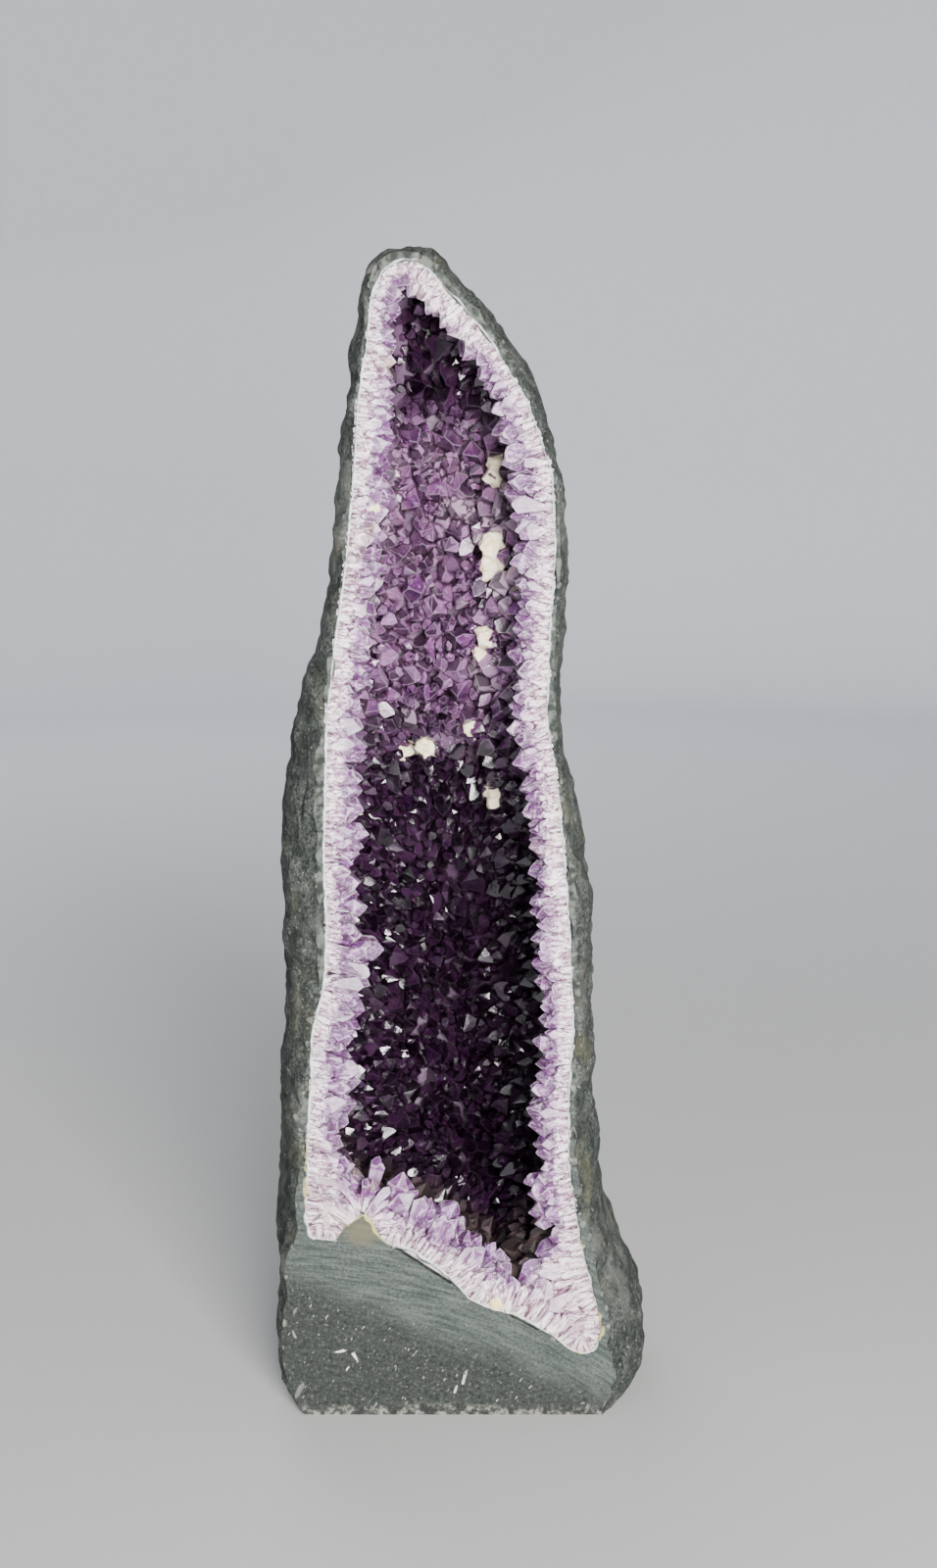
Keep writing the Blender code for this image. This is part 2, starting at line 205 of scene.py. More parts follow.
# Large crystals on the lip: root and tip as seen, and radius in metres.
LIP_CRYSTALS = (
    ((398, 1262), (412, 1196), 0.0105), ((425, 1268), (440, 1222), 0.0075),
    ((503, 1345), (505, 1292), 0.0105), ((352, 1240), (356, 1195), 0.0075),
    ((540, 1350), (537, 1308), 0.0080), ((375, 1250), (380, 1203), 0.0070),
    ((470, 1300), (478, 1255), 0.0070), ((568, 1345), (560, 1300), 0.0070),
)
LIP_DEPTH = 0.009
# Knocks on the stone: place, radius in metres, and how fresh the break looks.
KNOCKS = (
    (347, 1379, 0.0040, 1.0), (362, 1384, 0.0042, 1.0), (355, 1396, 0.0024, 1.0), (474, 1407, 0.0052, 0.95),
    (465, 1418, 0.0034, 0.9), (301, 1338, 0.0035, 0.6), (300, 1362, 0.0030, 0.6), (306, 1418, 0.0060, 0.4),
    (404, 1396, 0.0016, 0.7), (333, 1352, 0.0014, 0.7), (622, 1425, 0.0060, 0.5),
    (600, 1436, 0.0050, 0.5), (308, 812, 0.0062, 0.0), (306, 828, 0.0068, 0.0),
)
# They are shallow and narrow: their bodies stand this share of the radius before the stone, are turned this
# far and are stretched by these factors.
KNOCK_LIFT = 0.45
KNOCK_TURN = 0.5
KNOCK_STRETCH = np.array((0.42, 0.80, 1.45))

# The circular saw's centre below the front (x, z), and a stain on the front in the photograph's pixels.
SAW_CENTRE = (-0.15, -0.33)
STAIN_PIXEL = (370, 1258)

# Stage and lights: the round sweep's radius, height, round foot and steps up and around, and the key
# light's direction in degrees to the right of the front and above the level.
ROOM_RADIUS = 3.4
ROOM_HEIGHT = 3.2
SWEEP_RADIUS = 0.5
ROOM_STEPS = 16
ROOM_SEGMENTS = 96
LIGHT_TARGET = Vector((0.0, FRONT, 0.45))
KEY_SIDE = 16.0
KEY_RISE = 12.0
KEY_DISTANCE = 2.4
KEY_SIZE = (1.0, 1.1)
KEY_POWER = 212.0
FILL_POWER = 12.0
BACK_POWER = 45.0
WORLD_STRENGTH = 0.36


def merged_mesh(node_name):
    """A node's mesh with its split vertices joined again."""
    bm = bmesh.new()
    bm.from_mesh(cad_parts[node_name].data)
    bmesh.ops.remove_doubles(bm, verts=bm.verts, dist=0.00001)
    return bm


def new_object(name, mesh):
    obj = bpy.data.objects.new(name, mesh)
    bpy.context.scene.collection.objects.link(obj)
    return obj


def mesh_from(name, points, faces):
    mesh = bpy.data.meshes.new(name)
    mesh.from_pydata([tuple(point) for point in points], [], faces)
    mesh.update()
    return mesh


def object_from(name, bm):
    """A new object with this edit mesh, which is freed."""
    mesh = bpy.data.meshes.new(name)
    bm.to_mesh(mesh)
    bm.free()
    return new_object(name, mesh)


def closed_object(name, points, faces):
    """A closed body of these faces, all turned outward, with the large ones split into triangles."""
    body = new_object(name, mesh_from(name, points, faces))
    bm = bmesh.new()
    bm.from_mesh(body.data)
    bmesh.ops.triangulate(bm, faces=[face for face in bm.faces if len(face.verts) > 4])
    bmesh.ops.recalc_face_normals(bm, faces=bm.faces)
    bm.to_mesh(body.data)
    bm.free()
    return body


def points_of(mesh):
    flat = np.empty(len(mesh.vertices) * 3)
    mesh.vertices.foreach_get("co", flat)
    return flat.reshape(-1, 3)


def set_points(mesh, points):
    mesh.vertices.foreach_set("co", np.asarray(points, dtype=float).ravel())
    mesh.update()


def set_value(mesh, name, values, domain="POINT"):
    layer = mesh.attributes.new(name, "FLOAT", domain)
    layer.data.foreach_set("value", np.asarray(values, dtype=np.float32))


def evaluated_mesh(obj):
    """The object's mesh with its modifiers applied; the modifiers are removed."""
    graph = bpy.context.evaluated_depsgraph_get()
    mesh = bpy.data.meshes.new_from_object(obj.evaluated_get(graph))
    obj.modifiers.clear()
    obj.data = mesh
    return mesh


def noise_at(point, size, seed):
    return noise.noise(Vector(point) / size + Vector((seed, -seed, 2.0 * seed)))


def small_shift(point, size):
    """A shift of about 1 at most each way that varies over lumps of this size."""
    return np.array(noise.noise_vector(Vector(point) / size))


def smoothed(values, times):
    """Values around a closed loop, evened out with their neighbours."""
    for _ in range(times):
        values = (np.roll(values, 1, axis=0) + 2.0 * values + np.roll(values, -1, axis=0)) / 4.0
    return values


def tree_of(places):
    """A search tree of places, which finds them by their number."""
    tree = KDTree(len(places))
    for index, place in enumerate(places):
        tree.insert(place, index)
    tree.balance()
    return tree


def smooth_step(low, high, value):
    share = min(1.0, max(0.0, (value - low) / (high - low)))
    return share * share * (3.0 - 2.0 * share)


def sight(column, row):
    """The direction from the camera through a pixel of the photograph."""
    right = (column - PHOTO_WIDTH / 2.0) / FOCAL_PIXELS
    down = (row - PHOTO_HEIGHT / 2.0) / FOCAL_PIXELS
    ahead = Vector((0.0, math.cos(CAMERA_TILT), -math.sin(CAMERA_TILT)))
    up = Vector((0.0, math.sin(CAMERA_TILT), math.cos(CAMERA_TILT)))
    return (ahead + Vector((right, 0.0, 0.0)) - up * down).normalized()


def seen_at(column, row, tree):
    """Where the line of sight through a pixel meets a surface."""
    return tree.ray_cast(CAMERA_PLACE, sight(column, row))[0]


def seen_on_plane(column, row, behind=0.0):
    """Where the line of sight through a pixel crosses a plane behind the sawn front."""
    direction = sight(column, row)
    return CAMERA_PLACE + direction * ((FRONT + behind - CAMERA_PLACE.y) / direction.y)


STAIN_PLACE = seen_on_plane(*STAIN_PIXEL)


# The wall of the hollow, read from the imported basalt.


class HollowWall:
    """The rock's inner wall as a fine smooth surface, with the crust's thickness along it."""

    def __init__(self):
        shell = merged_mesh("basalt_shell")
        self.rock = BVHTree.FromBMesh(shell)
        crust = merged_mesh("amethyst_crust")
        self.crust = BVHTree.FromBMesh(crust)
        crust.free()
        outside = [face for face in shell.faces if not self.is_wall(face)]
        bmesh.ops.delete(shell, geom=outside, context="FACES")
        for _ in range(2):
            bmesh.ops.triangulate(shell, faces=shell.faces)
            bmesh.ops.subdivide_edges(shell, edges=shell.edges, cuts=1, use_grid_fill=True)
        bmesh.ops.triangulate(shell, faces=shell.faces)
        inner = [vertex for vertex in shell.verts if not vertex.is_boundary]
        axes = {"use_axis_x": True, "use_axis_y": True, "use_axis_z": True}
        for _ in range(6):
            bmesh.ops.smooth_vert(shell, verts=inner, factor=0.5, **axes)
        shell.normal_update()
        self.bm = shell
        self.tree = BVHTree.FromBMesh(shell)
        self.thickness = self.smooth_thickness()
        self.bm.verts.index_update()
        self.face_thickness = [self.thickness[face.verts[0].index] for face in self.bm.faces]

    def is_wall(self, face):
        """A face of the hollow has the crust just before it, and an outer face has none or has it behind."""
        if all(vertex.co.y < FRONT + FLAT for vertex in face.verts):
            return False
        middle = face.calc_center_median()
        nearest = self.crust.find_nearest(middle, 0.004)[0]
        return nearest is not None and (nearest - middle).dot(face.normal) > 0.0

    def depth_to_tips(self, point, inward):
        """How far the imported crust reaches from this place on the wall."""
        hit = self.crust.ray_cast(point + inward * PROBE_START, inward, PROBE_REACH)
        return hit[3] + PROBE_START if hit[0] is not None else 0.0

    def smooth_thickness(self):
        """The crust's thickness at every vertex, as a high value of its neighbourhood."""
        places = []
        depths = []
        for vertex in self.bm.verts:
            place = vertex.co.copy()
            place.y = max(place.y, FRONT + 0.002)
            depth = self.depth_to_tips(place, vertex.normal)
            if CRUST_LIMITS[0] < depth < CRUST_LIMITS[1]:
                places.append(place)
                depths.append(depth)
        tree = tree_of(places)
        thickness = []
        for vertex in self.bm.verts:
            near = [depths[index] for _, index, _ in tree.find_n(vertex.co, NEAR_SAMPLES)]
            thickness.append(float(np.percentile(near, NEAR_PERCENTILE)))
        return thickness

    def stands_free(self, middle, reach):
        """Whether the middle of a crystal is so far from the wall that its whole side would show."""
        return self.tree.find_nearest(middle)[3] > reach * FREE_SHARE

    def triangles(self):
        """Corner indices of every triangle, in an order that doesn't depend on how they were made."""
        rows = [[vertex.index for vertex in face.verts] for face in self.bm.faces]
        self.bm.verts.ensure_lookup_table()
        places = [np.mean([self.bm.verts[i].co for i in row], axis=0).round(5).tolist() for row in rows]
        order = sorted(range(len(rows)), key=lambda index: places[index])
        return [sorted(rows[index], key=lambda i: tuple(self.bm.verts[i].co)) for index in order]

    def scatter(self, count, rng):
        """Random places on the wall: point, inward direction and crust thickness."""
        self.bm.verts.index_update()
        rows = np.array(self.triangles())
        places = np.array([vertex.co[:] for vertex in self.bm.verts])
        normals = np.array([vertex.normal[:] for vertex in self.bm.verts])
        first, second, third = places[rows[:, 0]], places[rows[:, 1]], places[rows[:, 2]]
        areas = np.linalg.norm(np.cross(second - first, third - first), axis=1)
        chosen = rows[rng.choice(len(rows), size=count, p=areas / areas.sum())]
        low, high = np.sort(rng.uniform(0.0, 1.0, (2, count)), axis=0)
        shares = np.stack([low, high - low, 1.0 - high], axis=1)[:, :, None]
        points = (places[chosen] * shares).sum(axis=1)
        inward = (normals[chosen] * shares).sum(axis=1)
        inward /= np.linalg.norm(inward, axis=1)[:, None]
        thickness = (np.array(self.thickness)[chosen] * shares[:, :, 0]).sum(axis=1)
        return points, inward, thickness


# Crystal forms and their placing.


def cut(bm, place, outward, snap=0.0):
    """Drops what lies past a plane and returns what was made along the cut."""
    body = bm.verts[:] + bm.edges[:] + bm.faces[:]
    return bmesh.ops.bisect_plane(
        bm, geom=body, dist=snap, plane_co=place, plane_no=outward, clear_outer=True
    )["geom_cut"]


def cut_off(bm, place, outward):
    """Cuts a convex body with a plane, drops what lies outside and closes the cut."""
    edges = [item for item in cut(bm, place, outward, 0.00001) if isinstance(item, bmesh.types.BMEdge)]
    if len(edges) > 2:
        bmesh.ops.contextual_create(bm, geom=edges)


def crystal_form(rng):
    """One quartz crystal of unit radius that points up: six uneven sides and three large and three small
    faces at the point. Returns its points and faces, with the tip at height 0 and the root at -3."""
    bm = bmesh.new()
    middle = Matrix.Translation((0, 0, -0.5))
    bmesh.ops.create_cone(bm, cap_ends=True, segments=6, radius1=2.0, radius2=2.0, depth=5.0, matrix=middle)
    angles = [math.tau * side / 6.0 for side in range(6)]
    sides = [Vector((math.cos(angle), math.sin(angle), 0.0)) for angle in angles]
    for outward in sides:
        cut_off(bm, outward * rng.uniform(0.74, 1.0), outward)
    for number, outward in enumerate(sides):
        height = rng.uniform(0.0, 0.16) if number % 2 == 0 else rng.uniform(0.10, 0.55)
        cut_off(bm, UP * height, outward * math.sin(POINT_SLOPE) + UP * math.cos(POINT_SLOPE))
    top = max(vertex.co.z for vertex in bm.verts)
    low = min(vertex.co.z for vertex in bm.verts)
    bmesh.ops.recalc_face_normals(bm, faces=bm.faces)
    for face in [face for face in bm.faces if 0.3 < face.normal.z < 0.9 and face.calc_area() > 0.05]:
        outward = face.normal.copy()
        bmesh.ops.poke(bm, faces=[face])["verts"][0].co += outward * FACET_RISE
    bm.verts.index_update()
    heights = [-3.0 if vertex.co.z < low + 0.01 else vertex.co.z - top for vertex in bm.verts]
    points = [(vertex.co.x, vertex.co.y, height) for vertex, height in zip(bm.verts, heights)]
    faces = [[vertex.index for vertex in face.verts] for face in bm.faces]
    bm.free()
    return np.array(points), faces


class Crystal:
    """A placed crystal: its form with where, how large and how turned it is, and its tint and paleness."""

    def __init__(self, tip, direction, radius, length, form, spin, tint, taper=ROOT_TAPER):
        self.tip, self.direction, self.radius, self.length = tip, direction, radius, length
        self.form, self.spin, self.tint, self.taper = form, spin, tint, taper
        self.pale = 0.0

    def spine(self):
        """Points along the axis, used to find which crystals touch."""
        return [self.tip - self.direction * self.length * share for share in (0.08, 0.4, 0.75)]

    def points(self):
        turn = self.direction.to_track_quat("Z", "Y").to_matrix() @ Matrix.Rotation(self.spin, 3, "Z")
        local = self.form[0] * self.radius
        at_root = self.form[0][:, 2] < -2.99
        local[at_root, 0:2] *= self.taper
        local[at_root, 2] = -self.length
        return local @ np.array(turn).T + np.array(self.tip)


def place_rim_crystals(rim, forms, rng):
    """Rows of crystals that grow across the band on the sawn front."""
    crystals = []
    for share, size, spacing, behind in RIM_LAYERS:
        count = int(rim.length / spacing)
        for step in range(count):
            index = int((step + rng.uniform(-0.3, 0.3)) / count * rim.count) % rim.count
            radius = size * (1.0 + rng.normal(0.0, RIM_RADIUS_SPREAD))
            reach = rim.width[index] * share * (1.0 + rng.normal(0.0, RIM_REACH_SPREAD))
            lean = rng.normal(0.0, RIM_LEAN, 3)
            depth = behind * (1.0 + rng.uniform(-0.3, 0.3))
            direction = Vector(-rim.outward[index] + lean)
            direction.y -= RIM_FORWARD
            direction.normalize()
            root = Vector(rim.points[index] + rim.outward[index] * RIM_ROOT)
            root.y = FRONT + depth + RIM_FORWARD * reach * 0.5
            length = reach + RIM_ROOT
            spin = rng.uniform(0.0, math.tau)
            form = forms[rng.integers(0, FORM_COUNT)]
            tip = root + direction * length
            crystals.append(Crystal(tip, direction, radius, length, form, spin, rng.uniform(), RIM_TAPER))
    return crystals


def place_crystals(wall, taken, forms, rng):
    """Crystals of falling size, each where its tip clears the tips already placed."""
    most = len(taken) + sum(tries for _, tries in RADIUS_CLASSES)
    tips = np.full((most, 3), 9.0)
    radii = np.zeros(most)
    filled = len(taken)
    tips[:filled] = [crystal.tip for crystal in taken]
    radii[:filled] = [crystal.radius for crystal in taken]
    crystals = []
    largest = RADIUS_CLASSES[0][0]
    for size, tries in RADIUS_CLASSES:
        points, inward, thickness = wall.scatter(tries, rng)
        own_radii = size * (1.0 + rng.normal(0.0, RADIUS_SPREAD, tries))
        scatters = rng.uniform(-1.0, 1.0, tries) * TIP_SCATTER
        reaches = thickness + scatters - (largest - size) * SMALL_SINK
        own_tips = points + inward * reaches[:, None]
        directions = inward + rng.normal(0.0, LEAN * (2.0 - size / largest), (tries, 3))
        spins = rng.uniform(0.0, math.tau, tries)
        tints = rng.uniform(0.0, 1.0, tries)
        picks = rng.integers(0, FORM_COUNT, tries)
        for index, (tip, radius, reach) in enumerate(zip(own_tips, own_radii, reaches)):
            if tip[1] < FRONT + FRONT_ZONE:
                continue
            near = np.abs(tips[:filled, 2] - tip[2]) < 0.02
            gaps = np.linalg.norm(tips[:filled][near] - tip, axis=1)
            if (gaps < (radii[:filled][near] + radius) * CROWDING).any():
                continue
            direction = Vector(directions[index]).normalized()
            length = reach * (1.0 - BASE_SHARE) + ROOT_DEPTH
            if wall.stands_free(Vector(tip) - direction * length * 0.5, reach):
                continue
            tips[filled] = tip
            radii[filled] = radius
            filled += 1
            form = forms[picks[index]]
            crystals.append(Crystal(Vector(tip), direction, radius, length, form, spins[index], tints[index]))
    return crystals


def crystal_parts(crystals, rng):
    """Points and faces of every crystal. One that crosses the sawn front is broken off there, with an
    uneven face of its own."""
    parts = []
    for crystal in crystals:
        points = crystal.points()
        faces = crystal.form[1]
        if points[:, 1].min() < FRONT + RIM_RECESS:
            place = Vector((crystal.tip.x, FRONT + rng.uniform(0.0, RIM_RECESS), crystal.tip.z))
            outward = Vector((rng.normal(0.0, RIM_TILT), -1.0, rng.normal(0.0, RIM_TILT))).normalized()
            points, faces = broken_body(points, faces, place, outward)
        if len(faces) > 3:
            parts.append((crystal, points, faces))
    return parts


def broken_body(points, faces, place, outward):
    """A convex body cut by a plane and by the sawn front, closed as the hull of what is left."""
    bm = bmesh.new()
    corners = [bm.verts.new(point) for point in points.tolist()]
    for face in faces:
        bm.faces.new([corners[index] for index in face])
    cut(bm, place, outward)
    cut(bm, Vector((0.0, FRONT, 0.0)), TO_FRONT)
    bmesh.ops.remove_doubles(bm, verts=bm.verts, dist=0.00002)
    left = [tuple(vertex.co) for vertex in bm.verts]
    bm.free()
    if len(left) < 4:
        return np.empty((0, 3)), []
    hull = bmesh.new()
    for point in left:
        hull.verts.new(point)
    bmesh.ops.convex_hull(hull, input=hull.verts)
    loose = [vertex for vertex in hull.verts if not vertex.link_faces]
    bmesh.ops.delete(hull, geom=loose, context="VERTS")
    closed = all(len(edge.link_faces) == 2 for edge in hull.edges)
    hull.verts.index_update()
    points = np.array([vertex.co[:] for vertex in hull.verts]).reshape(-1, 3)
    faces = [[vertex.index for vertex in face.verts] for face in hull.faces] if closed else []
    hull.free()
    return points, faces


def groups_apart(parts):
    """Sorts the crystals into groups in which no two touch."""
    crystals = [crystal for crystal, _, _ in parts]
    spines = [crystal.spine() for crystal in crystals]
    tree = tree_of([place for spine in spines for place in spine])
    widest = max(crystal.radius for crystal in crystals)
    colours = {}
    for index, crystal in enumerate(crystals):
        taken = set()
        for place in spines[index]:
            for _, found, gap in tree.find_range(place, (crystal.radius + widest) * TOUCHING):
                other = found // len(spines[index])
                if other in colours and gap < (crystal.radius + crystals[other].radius) * TOUCHING:
                    taken.add(colours[other])
        colours[index] = min(set(range(len(taken) + 1)) - taken)
    groups = [[] for _ in range(max(colours.values()) + 1)]
    for index, colour in colours.items():
        groups[colour].append(parts[index])
    return groups


def group_mesh(name, group):
    """One mesh of crystals that don't touch, with each face's tint, paleness and facet shade value, which
    paints light and shade on its facets.
    """
    faces = []
    values = {"tint": [], "pale": [], "facet_shade": []}
    start = 0
    for crystal, points, own_faces in group:
        faces += [[start + index for index in face] for face in own_faces]
        values["tint"] += [crystal.tint] * len(own_faces)
        values["pale"] += [crystal.pale] * len(own_faces)
        values["facet_shade"] += facet_shade_values(crystal, points, own_faces)
        start += len(points)
    mesh = mesh_from(name, np.vstack([points for _, points, _ in group]), faces)
    for value_name, numbers in values.items():
        set_value(mesh, value_name, numbers, "FACE")
    return mesh


def facet_shade_values(crystal, points, faces):
    """A number from 0 to 1 for each flat face, the same for triangles that share its direction: painted light
    and shade that makes some facets lighter and others darker.
    """
    values = []
    for face in faces:
        first, second, third = points[face[0]], points[face[1]], points[face[2]]
        normal = np.cross(second - first, third - first)
        normal /= np.linalg.norm(normal) + 1e-12
        turn = math.sin(37.0 * crystal.tint + 3.1 * round(normal[0] * 4.0) + 5.3 * round(normal[2] * 4.0))
        values.append(0.5 + 0.5 * turn)
    return values


def place_lip_crystals(forms, rng):
    """The large crystals that stand up from the lower edge of the band."""
    crystals = []
    for root_pixel, tip_pixel, radius in LIP_CRYSTALS:
        root = seen_on_plane(*root_pixel, LIP_DEPTH * 1.3)
        tip = seen_on_plane(*tip_pixel, LIP_DEPTH)
        span = tip - root
        form = forms[rng.integers(0, FORM_COUNT)]
        spin = rng.uniform(0.0, math.tau)
        crystals.append(Crystal(tip, span.normalized(), radius, span.length, form, spin, rng.uniform(), 0.8))
    return crystals


def pale_near_calcite(crystals, wall):
    """Makes the crystals around the calcite paler, as they are in the photograph."""
    spots = [seen_at(column, row, wall.crust) for column, row in PALE_SPOTS]
    spots = [spot for spot in spots if spot is not None]
    for crystal in crystals:
        gap = min((crystal.tip - spot).length for spot in spots)
        crystal.pale = 1.0 - smooth_step(PALE_REACH * 0.6, PALE_REACH * 1.2, gap)


def build_calcite(pieces):
    """Ragged cream calcite on the crystals, where the photograph shows it."""
    rng = np.random.default_rng(CALCITE_SEED)
    graph = bpy.context.evaluated_depsgraph_get()
    trees = [BVHTree.FromObject(piece, graph) for piece in pieces]
    bm = bmesh.new()
    for column, row, width, height in CALCITE_SPOTS:
        hits = [seen_at(column, row, tree) for tree in trees]
        middle = min((hit for hit in hits if hit is not None), key=lambda hit: (hit - CAMERA_PLACE).length)
        scale = (middle - CAMERA_PLACE).length / FOCAL_PIXELS
        size = Vector((width * scale * 0.62, 0.0075, height * scale * 0.62))
        for _ in range(5):
            across, up = rng.uniform(-0.22, 0.22, 2)
            place = middle + Vector((across * width * scale, rng.uniform(-0.001, 0.002), up * height * scale))
            place.y = max(place.y, FRONT + 0.0052)
            roll = Matrix.Rotation(rng.normal(0.0, 0.35), 4, "Y")
            tilt = Matrix.Rotation(rng.normal(0.0, 0.30), 4, "X")
            matrix = Matrix.Translation(place) @ roll @ tilt @ Matrix.Diagonal(size.to_4d())
            bmesh.ops.create_cube(bm, size=1.0, matrix=matrix)
    calcite = object_from("calcite_growths", bm)
    remesh(calcite, CALCITE_VOXEL)
    points = points_of(calcite.data)
    for size, height in CALCITE_LUMPS:
        for point in points:
            point += small_shift(point, size) * height
    points[:, 1] = np.maximum(points[:, 1], FRONT + MARGIN)
    set_points(calcite.data, points)
    calcite.data.shade_smooth()
    return calcite


def united(name, parts):
    """Crystals joined into one closed body."""
    groups = groups_apart(parts)
    whole = new_object(name, group_mesh(name, groups[0]))
    for group in groups[1:]:
        join(whole, new_object("crystal_group", group_mesh("crystal_group", group)), "UNION")
    return whole


def join(whole, other, operation):
    """Applies a Boolean with another closed body and removes that body."""
    modifier = whole.modifiers.new("join", "BOOLEAN")
    modifier.operation = operation
    modifier.solver = "MANIFOLD"
    modifier.object = other
    evaluated_mesh(whole)
    bpy.data.objects.remove(other)


# The edge of the hollow, as one loop along the sawn front.


class RimLoop:
    """The line where the hollow meets the sawn front, in even steps, with lengths along it."""

    def __init__(self, wall):
        edges = [edge for edge in wall.bm.edges if edge.is_boundary]
        links = {}
        for edge in edges:
            for vertex in edge.verts:
                links.setdefault(vertex, []).append(edge)
        start = min(links, key=lambda vertex: vertex.co.z)
        path = [start]
        edge = min(links[start], key=lambda item: item.other_vert(start).co.x)
        for _ in edges[1:]:
            vertex = edge.other_vert(path[-1])
            path.append(vertex)
            edge = next(item for item in links[vertex] if item is not edge)
        corners = self.with_lower_edge(np.array([vertex.co[:] for vertex in path]))
        corners[:, 1] = FRONT
        lengths = np.concatenate([[0.0], np.cumsum(np.linalg.norm(np.diff(corners, axis=0), axis=1))])
        self.length = lengths[-1]
        self.count = int(self.length / RIM_STEP)
        self.along = np.linspace(0.0, self.length, self.count, endpoint=False)
        places = np.stack([np.interp(self.along, lengths, corners[:, axis]) for axis in range(3)], axis=1)
        places = smoothed(places, 3)
        self.points = places
        ahead = np.roll(places, -4, axis=0) - np.roll(places, 4, axis=0)
        ahead /= np.linalg.norm(ahead, axis=1)[:, None]
        outward = np.cross(ahead, (0.0, 1.0, 0.0))
        middle = places.mean(axis=0)
        if ((places - middle) * outward).sum() < 0.0:
            outward = -outward
        self.outward = outward
        self.width = self.band_width(wall)
        self.tree = tree_of(places)

    def with_lower_edge(self, corners):
        """The loop, which runs up the left side first, closed along the edge read from the photograph."""
        edge = [np.array(seen_on_plane(*pixel)) for pixel in LOWER_EDGE]
        gaps = [np.linalg.norm((corners - end)[:, [0, 2]], axis=1) for end in (edge[0], edge[-1])]
        first, last = [np.argmin(gap) for gap in gaps]
        return np.vstack([corners[first:last + 1], edge[::-1], corners[first]])

    def band_width(self, wall):
        """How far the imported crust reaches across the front, smoothed along the loop."""
        widths = []
        for place, outward in zip(self.points, self.outward):
            inward = Vector(-outward)
            start = Vector(place) + inward * 0.003
            start.y = FRONT + 0.0015
            hit, normal, _, _ = wall.crust.ray_cast(start, inward, 0.07)
            if hit is not None and normal.dot(inward) < 0.0:
                hit = wall.crust.ray_cast(hit + inward * 0.001, inward, 0.07)[0]
            widths.append((hit - start).length + 0.003 if hit is not None else 0.030)
        widths = np.array(widths)
        nearby = [np.roll(widths, shift) for shift in range(-BAND_WINDOW, BAND_WINDOW + 1)]
        widest = np.maximum(np.max(nearby, axis=0) + BAND_GROWTH, BAND_LEAST)
        return smoothed(np.minimum(widest, np.interp(self.points[:, 2], BAND_HEIGHTS, BAND_MOST)), 40)

    def along_at(self, point):
        """Length along the loop at the place nearest to this one, seen from the front."""
        return self.along[self.tree.find((point[0], FRONT, point[2]))[1]]


def set_growth(obj, wall, rim):
    """Stores, at every corner, how far through the crust it lies, where along the rim, and how it bends, for
    painted shade in clefts and painted highlights on edges.
    """
    depths = []
    alongs = []
    for point in points_of(obj.data):
        _, _, face, gap = wall.tree.find_nearest(Vector(point))
        depths.append(gap / wall.face_thickness[face])
        alongs.append(rim.along_at(point))
    cleft_shades, edges = bend_values(obj.data)
    for name, values in (("depth", depths), ("along", alongs), ("cleft_shade", cleft_shades), ("edge", edges)):
        set_value(obj.data, name, values)


def bend_values(mesh):
    """Two numbers for each corner: 1 in the cleft between crystals, where shade is painted, and 1 on a free
    edge or point, where highlights are painted.
    """
    bm = bmesh.new()
    bm.from_mesh(mesh)
    cleft_shades = []
    edges = []
    for vertex in bm.verts:
        bends = [edge.calc_face_angle_signed(0.0) for edge in vertex.link_edges]
        cleft_shades.append(1.0 - smooth_step(-0.9, 0.1, min(bends, default=0.0)))
        edges.append(smooth_step(0.2, 0.5, max(bends, default=0.0)) * (1.0 - cleft_shades[-1]))
    bm.free()
    return cleft_shades, edges


# Quartz under the crystals.


def build_quartz_base(wall):
    """The massive quartz that the crystals grow from: a layer on the hollow's wall."""
    wall.bm.verts.index_update()
    places = np.array([vertex.co[:] for vertex in wall.bm.verts])
    inward = np.array([vertex.normal[:] for vertex in wall.bm.verts])
    outer = places - inward * 0.0015
    inner = places + inward * np.array(wall.thickness)[:, None] * BASE_SHARE
    for layer in (outer, inner):
        layer[:, 1] = np.maximum(layer[:, 1], FRONT + BASE_RECESS)
    count = len(outer)
    faces = [[vertex.index + count for vertex in face.verts] for face in wall.bm.faces]
    faces += [[vertex.index for vertex in reversed(face.verts)] for face in wall.bm.faces]
    for edge in wall.bm.edges:
        if edge.is_boundary:
            loop = edge.link_loops[0]
            start = loop.vert.index
            end = loop.link_loop_next.vert.index
            faces.append([end + count, start + count, start, end])
    base = new_object("quartz_base", mesh_from("quartz_base", np.vstack([outer, inner]), faces))
    remesh(base, BASE_VOXEL)
    points = points_of(base.data)
    for point in points:
        if point[1] > FRONT + BASE_RECESS + BASE_STILL:
            point += small_shift(point, BASE_LUMP_SIZE) * BASE_LUMP_HEIGHT
    set_points(base.data, points)
    base.data.shade_smooth()
    return base


def remesh(obj, voxel):
    modifier = obj.modifiers.new("remesh", "REMESH")
    modifier.mode = "VOXEL"
    modifier.voxel_size = voxel
    evaluated_mesh(obj)


# The agate rind.


def rind_widths(rim, rock_tree):
    """How far the rind reaches into the rock: uneven, and thin where the rock's front edge is thin."""
    widths = []
    for place, outward in zip(rim.points, rim.outward):
        start = Vector((place[0], FRONT + 0.0010, place[2])) + Vector(outward) * 0.0004
        hit = rock_tree.ray_cast(start, Vector(outward), 0.05)
        room = hit[3] if hit[0] is not None else 0.0
        share = noise_at(place, RIND_NOISE_SIZE, 5.0) * 0.9
        share += noise_at(place, RIND_NOISE_SIZE * 0.3, 9.0) * 0.5
        width = RIND_WIDTH[0] + (RIND_WIDTH[1] - RIND_WIDTH[0]) * (0.5 + share)
        low = 1.0 - smooth_step(*RIND_LOW, place[2])
        width += low * max(0.0, noise_at(place, RIND_NOISE_SIZE * 0.8, 15.0) + 0.1) * RIND_LOW_WIDTH
        widths.append(max(0.0002, min(width, room * 0.5)))
    return np.array(widths)


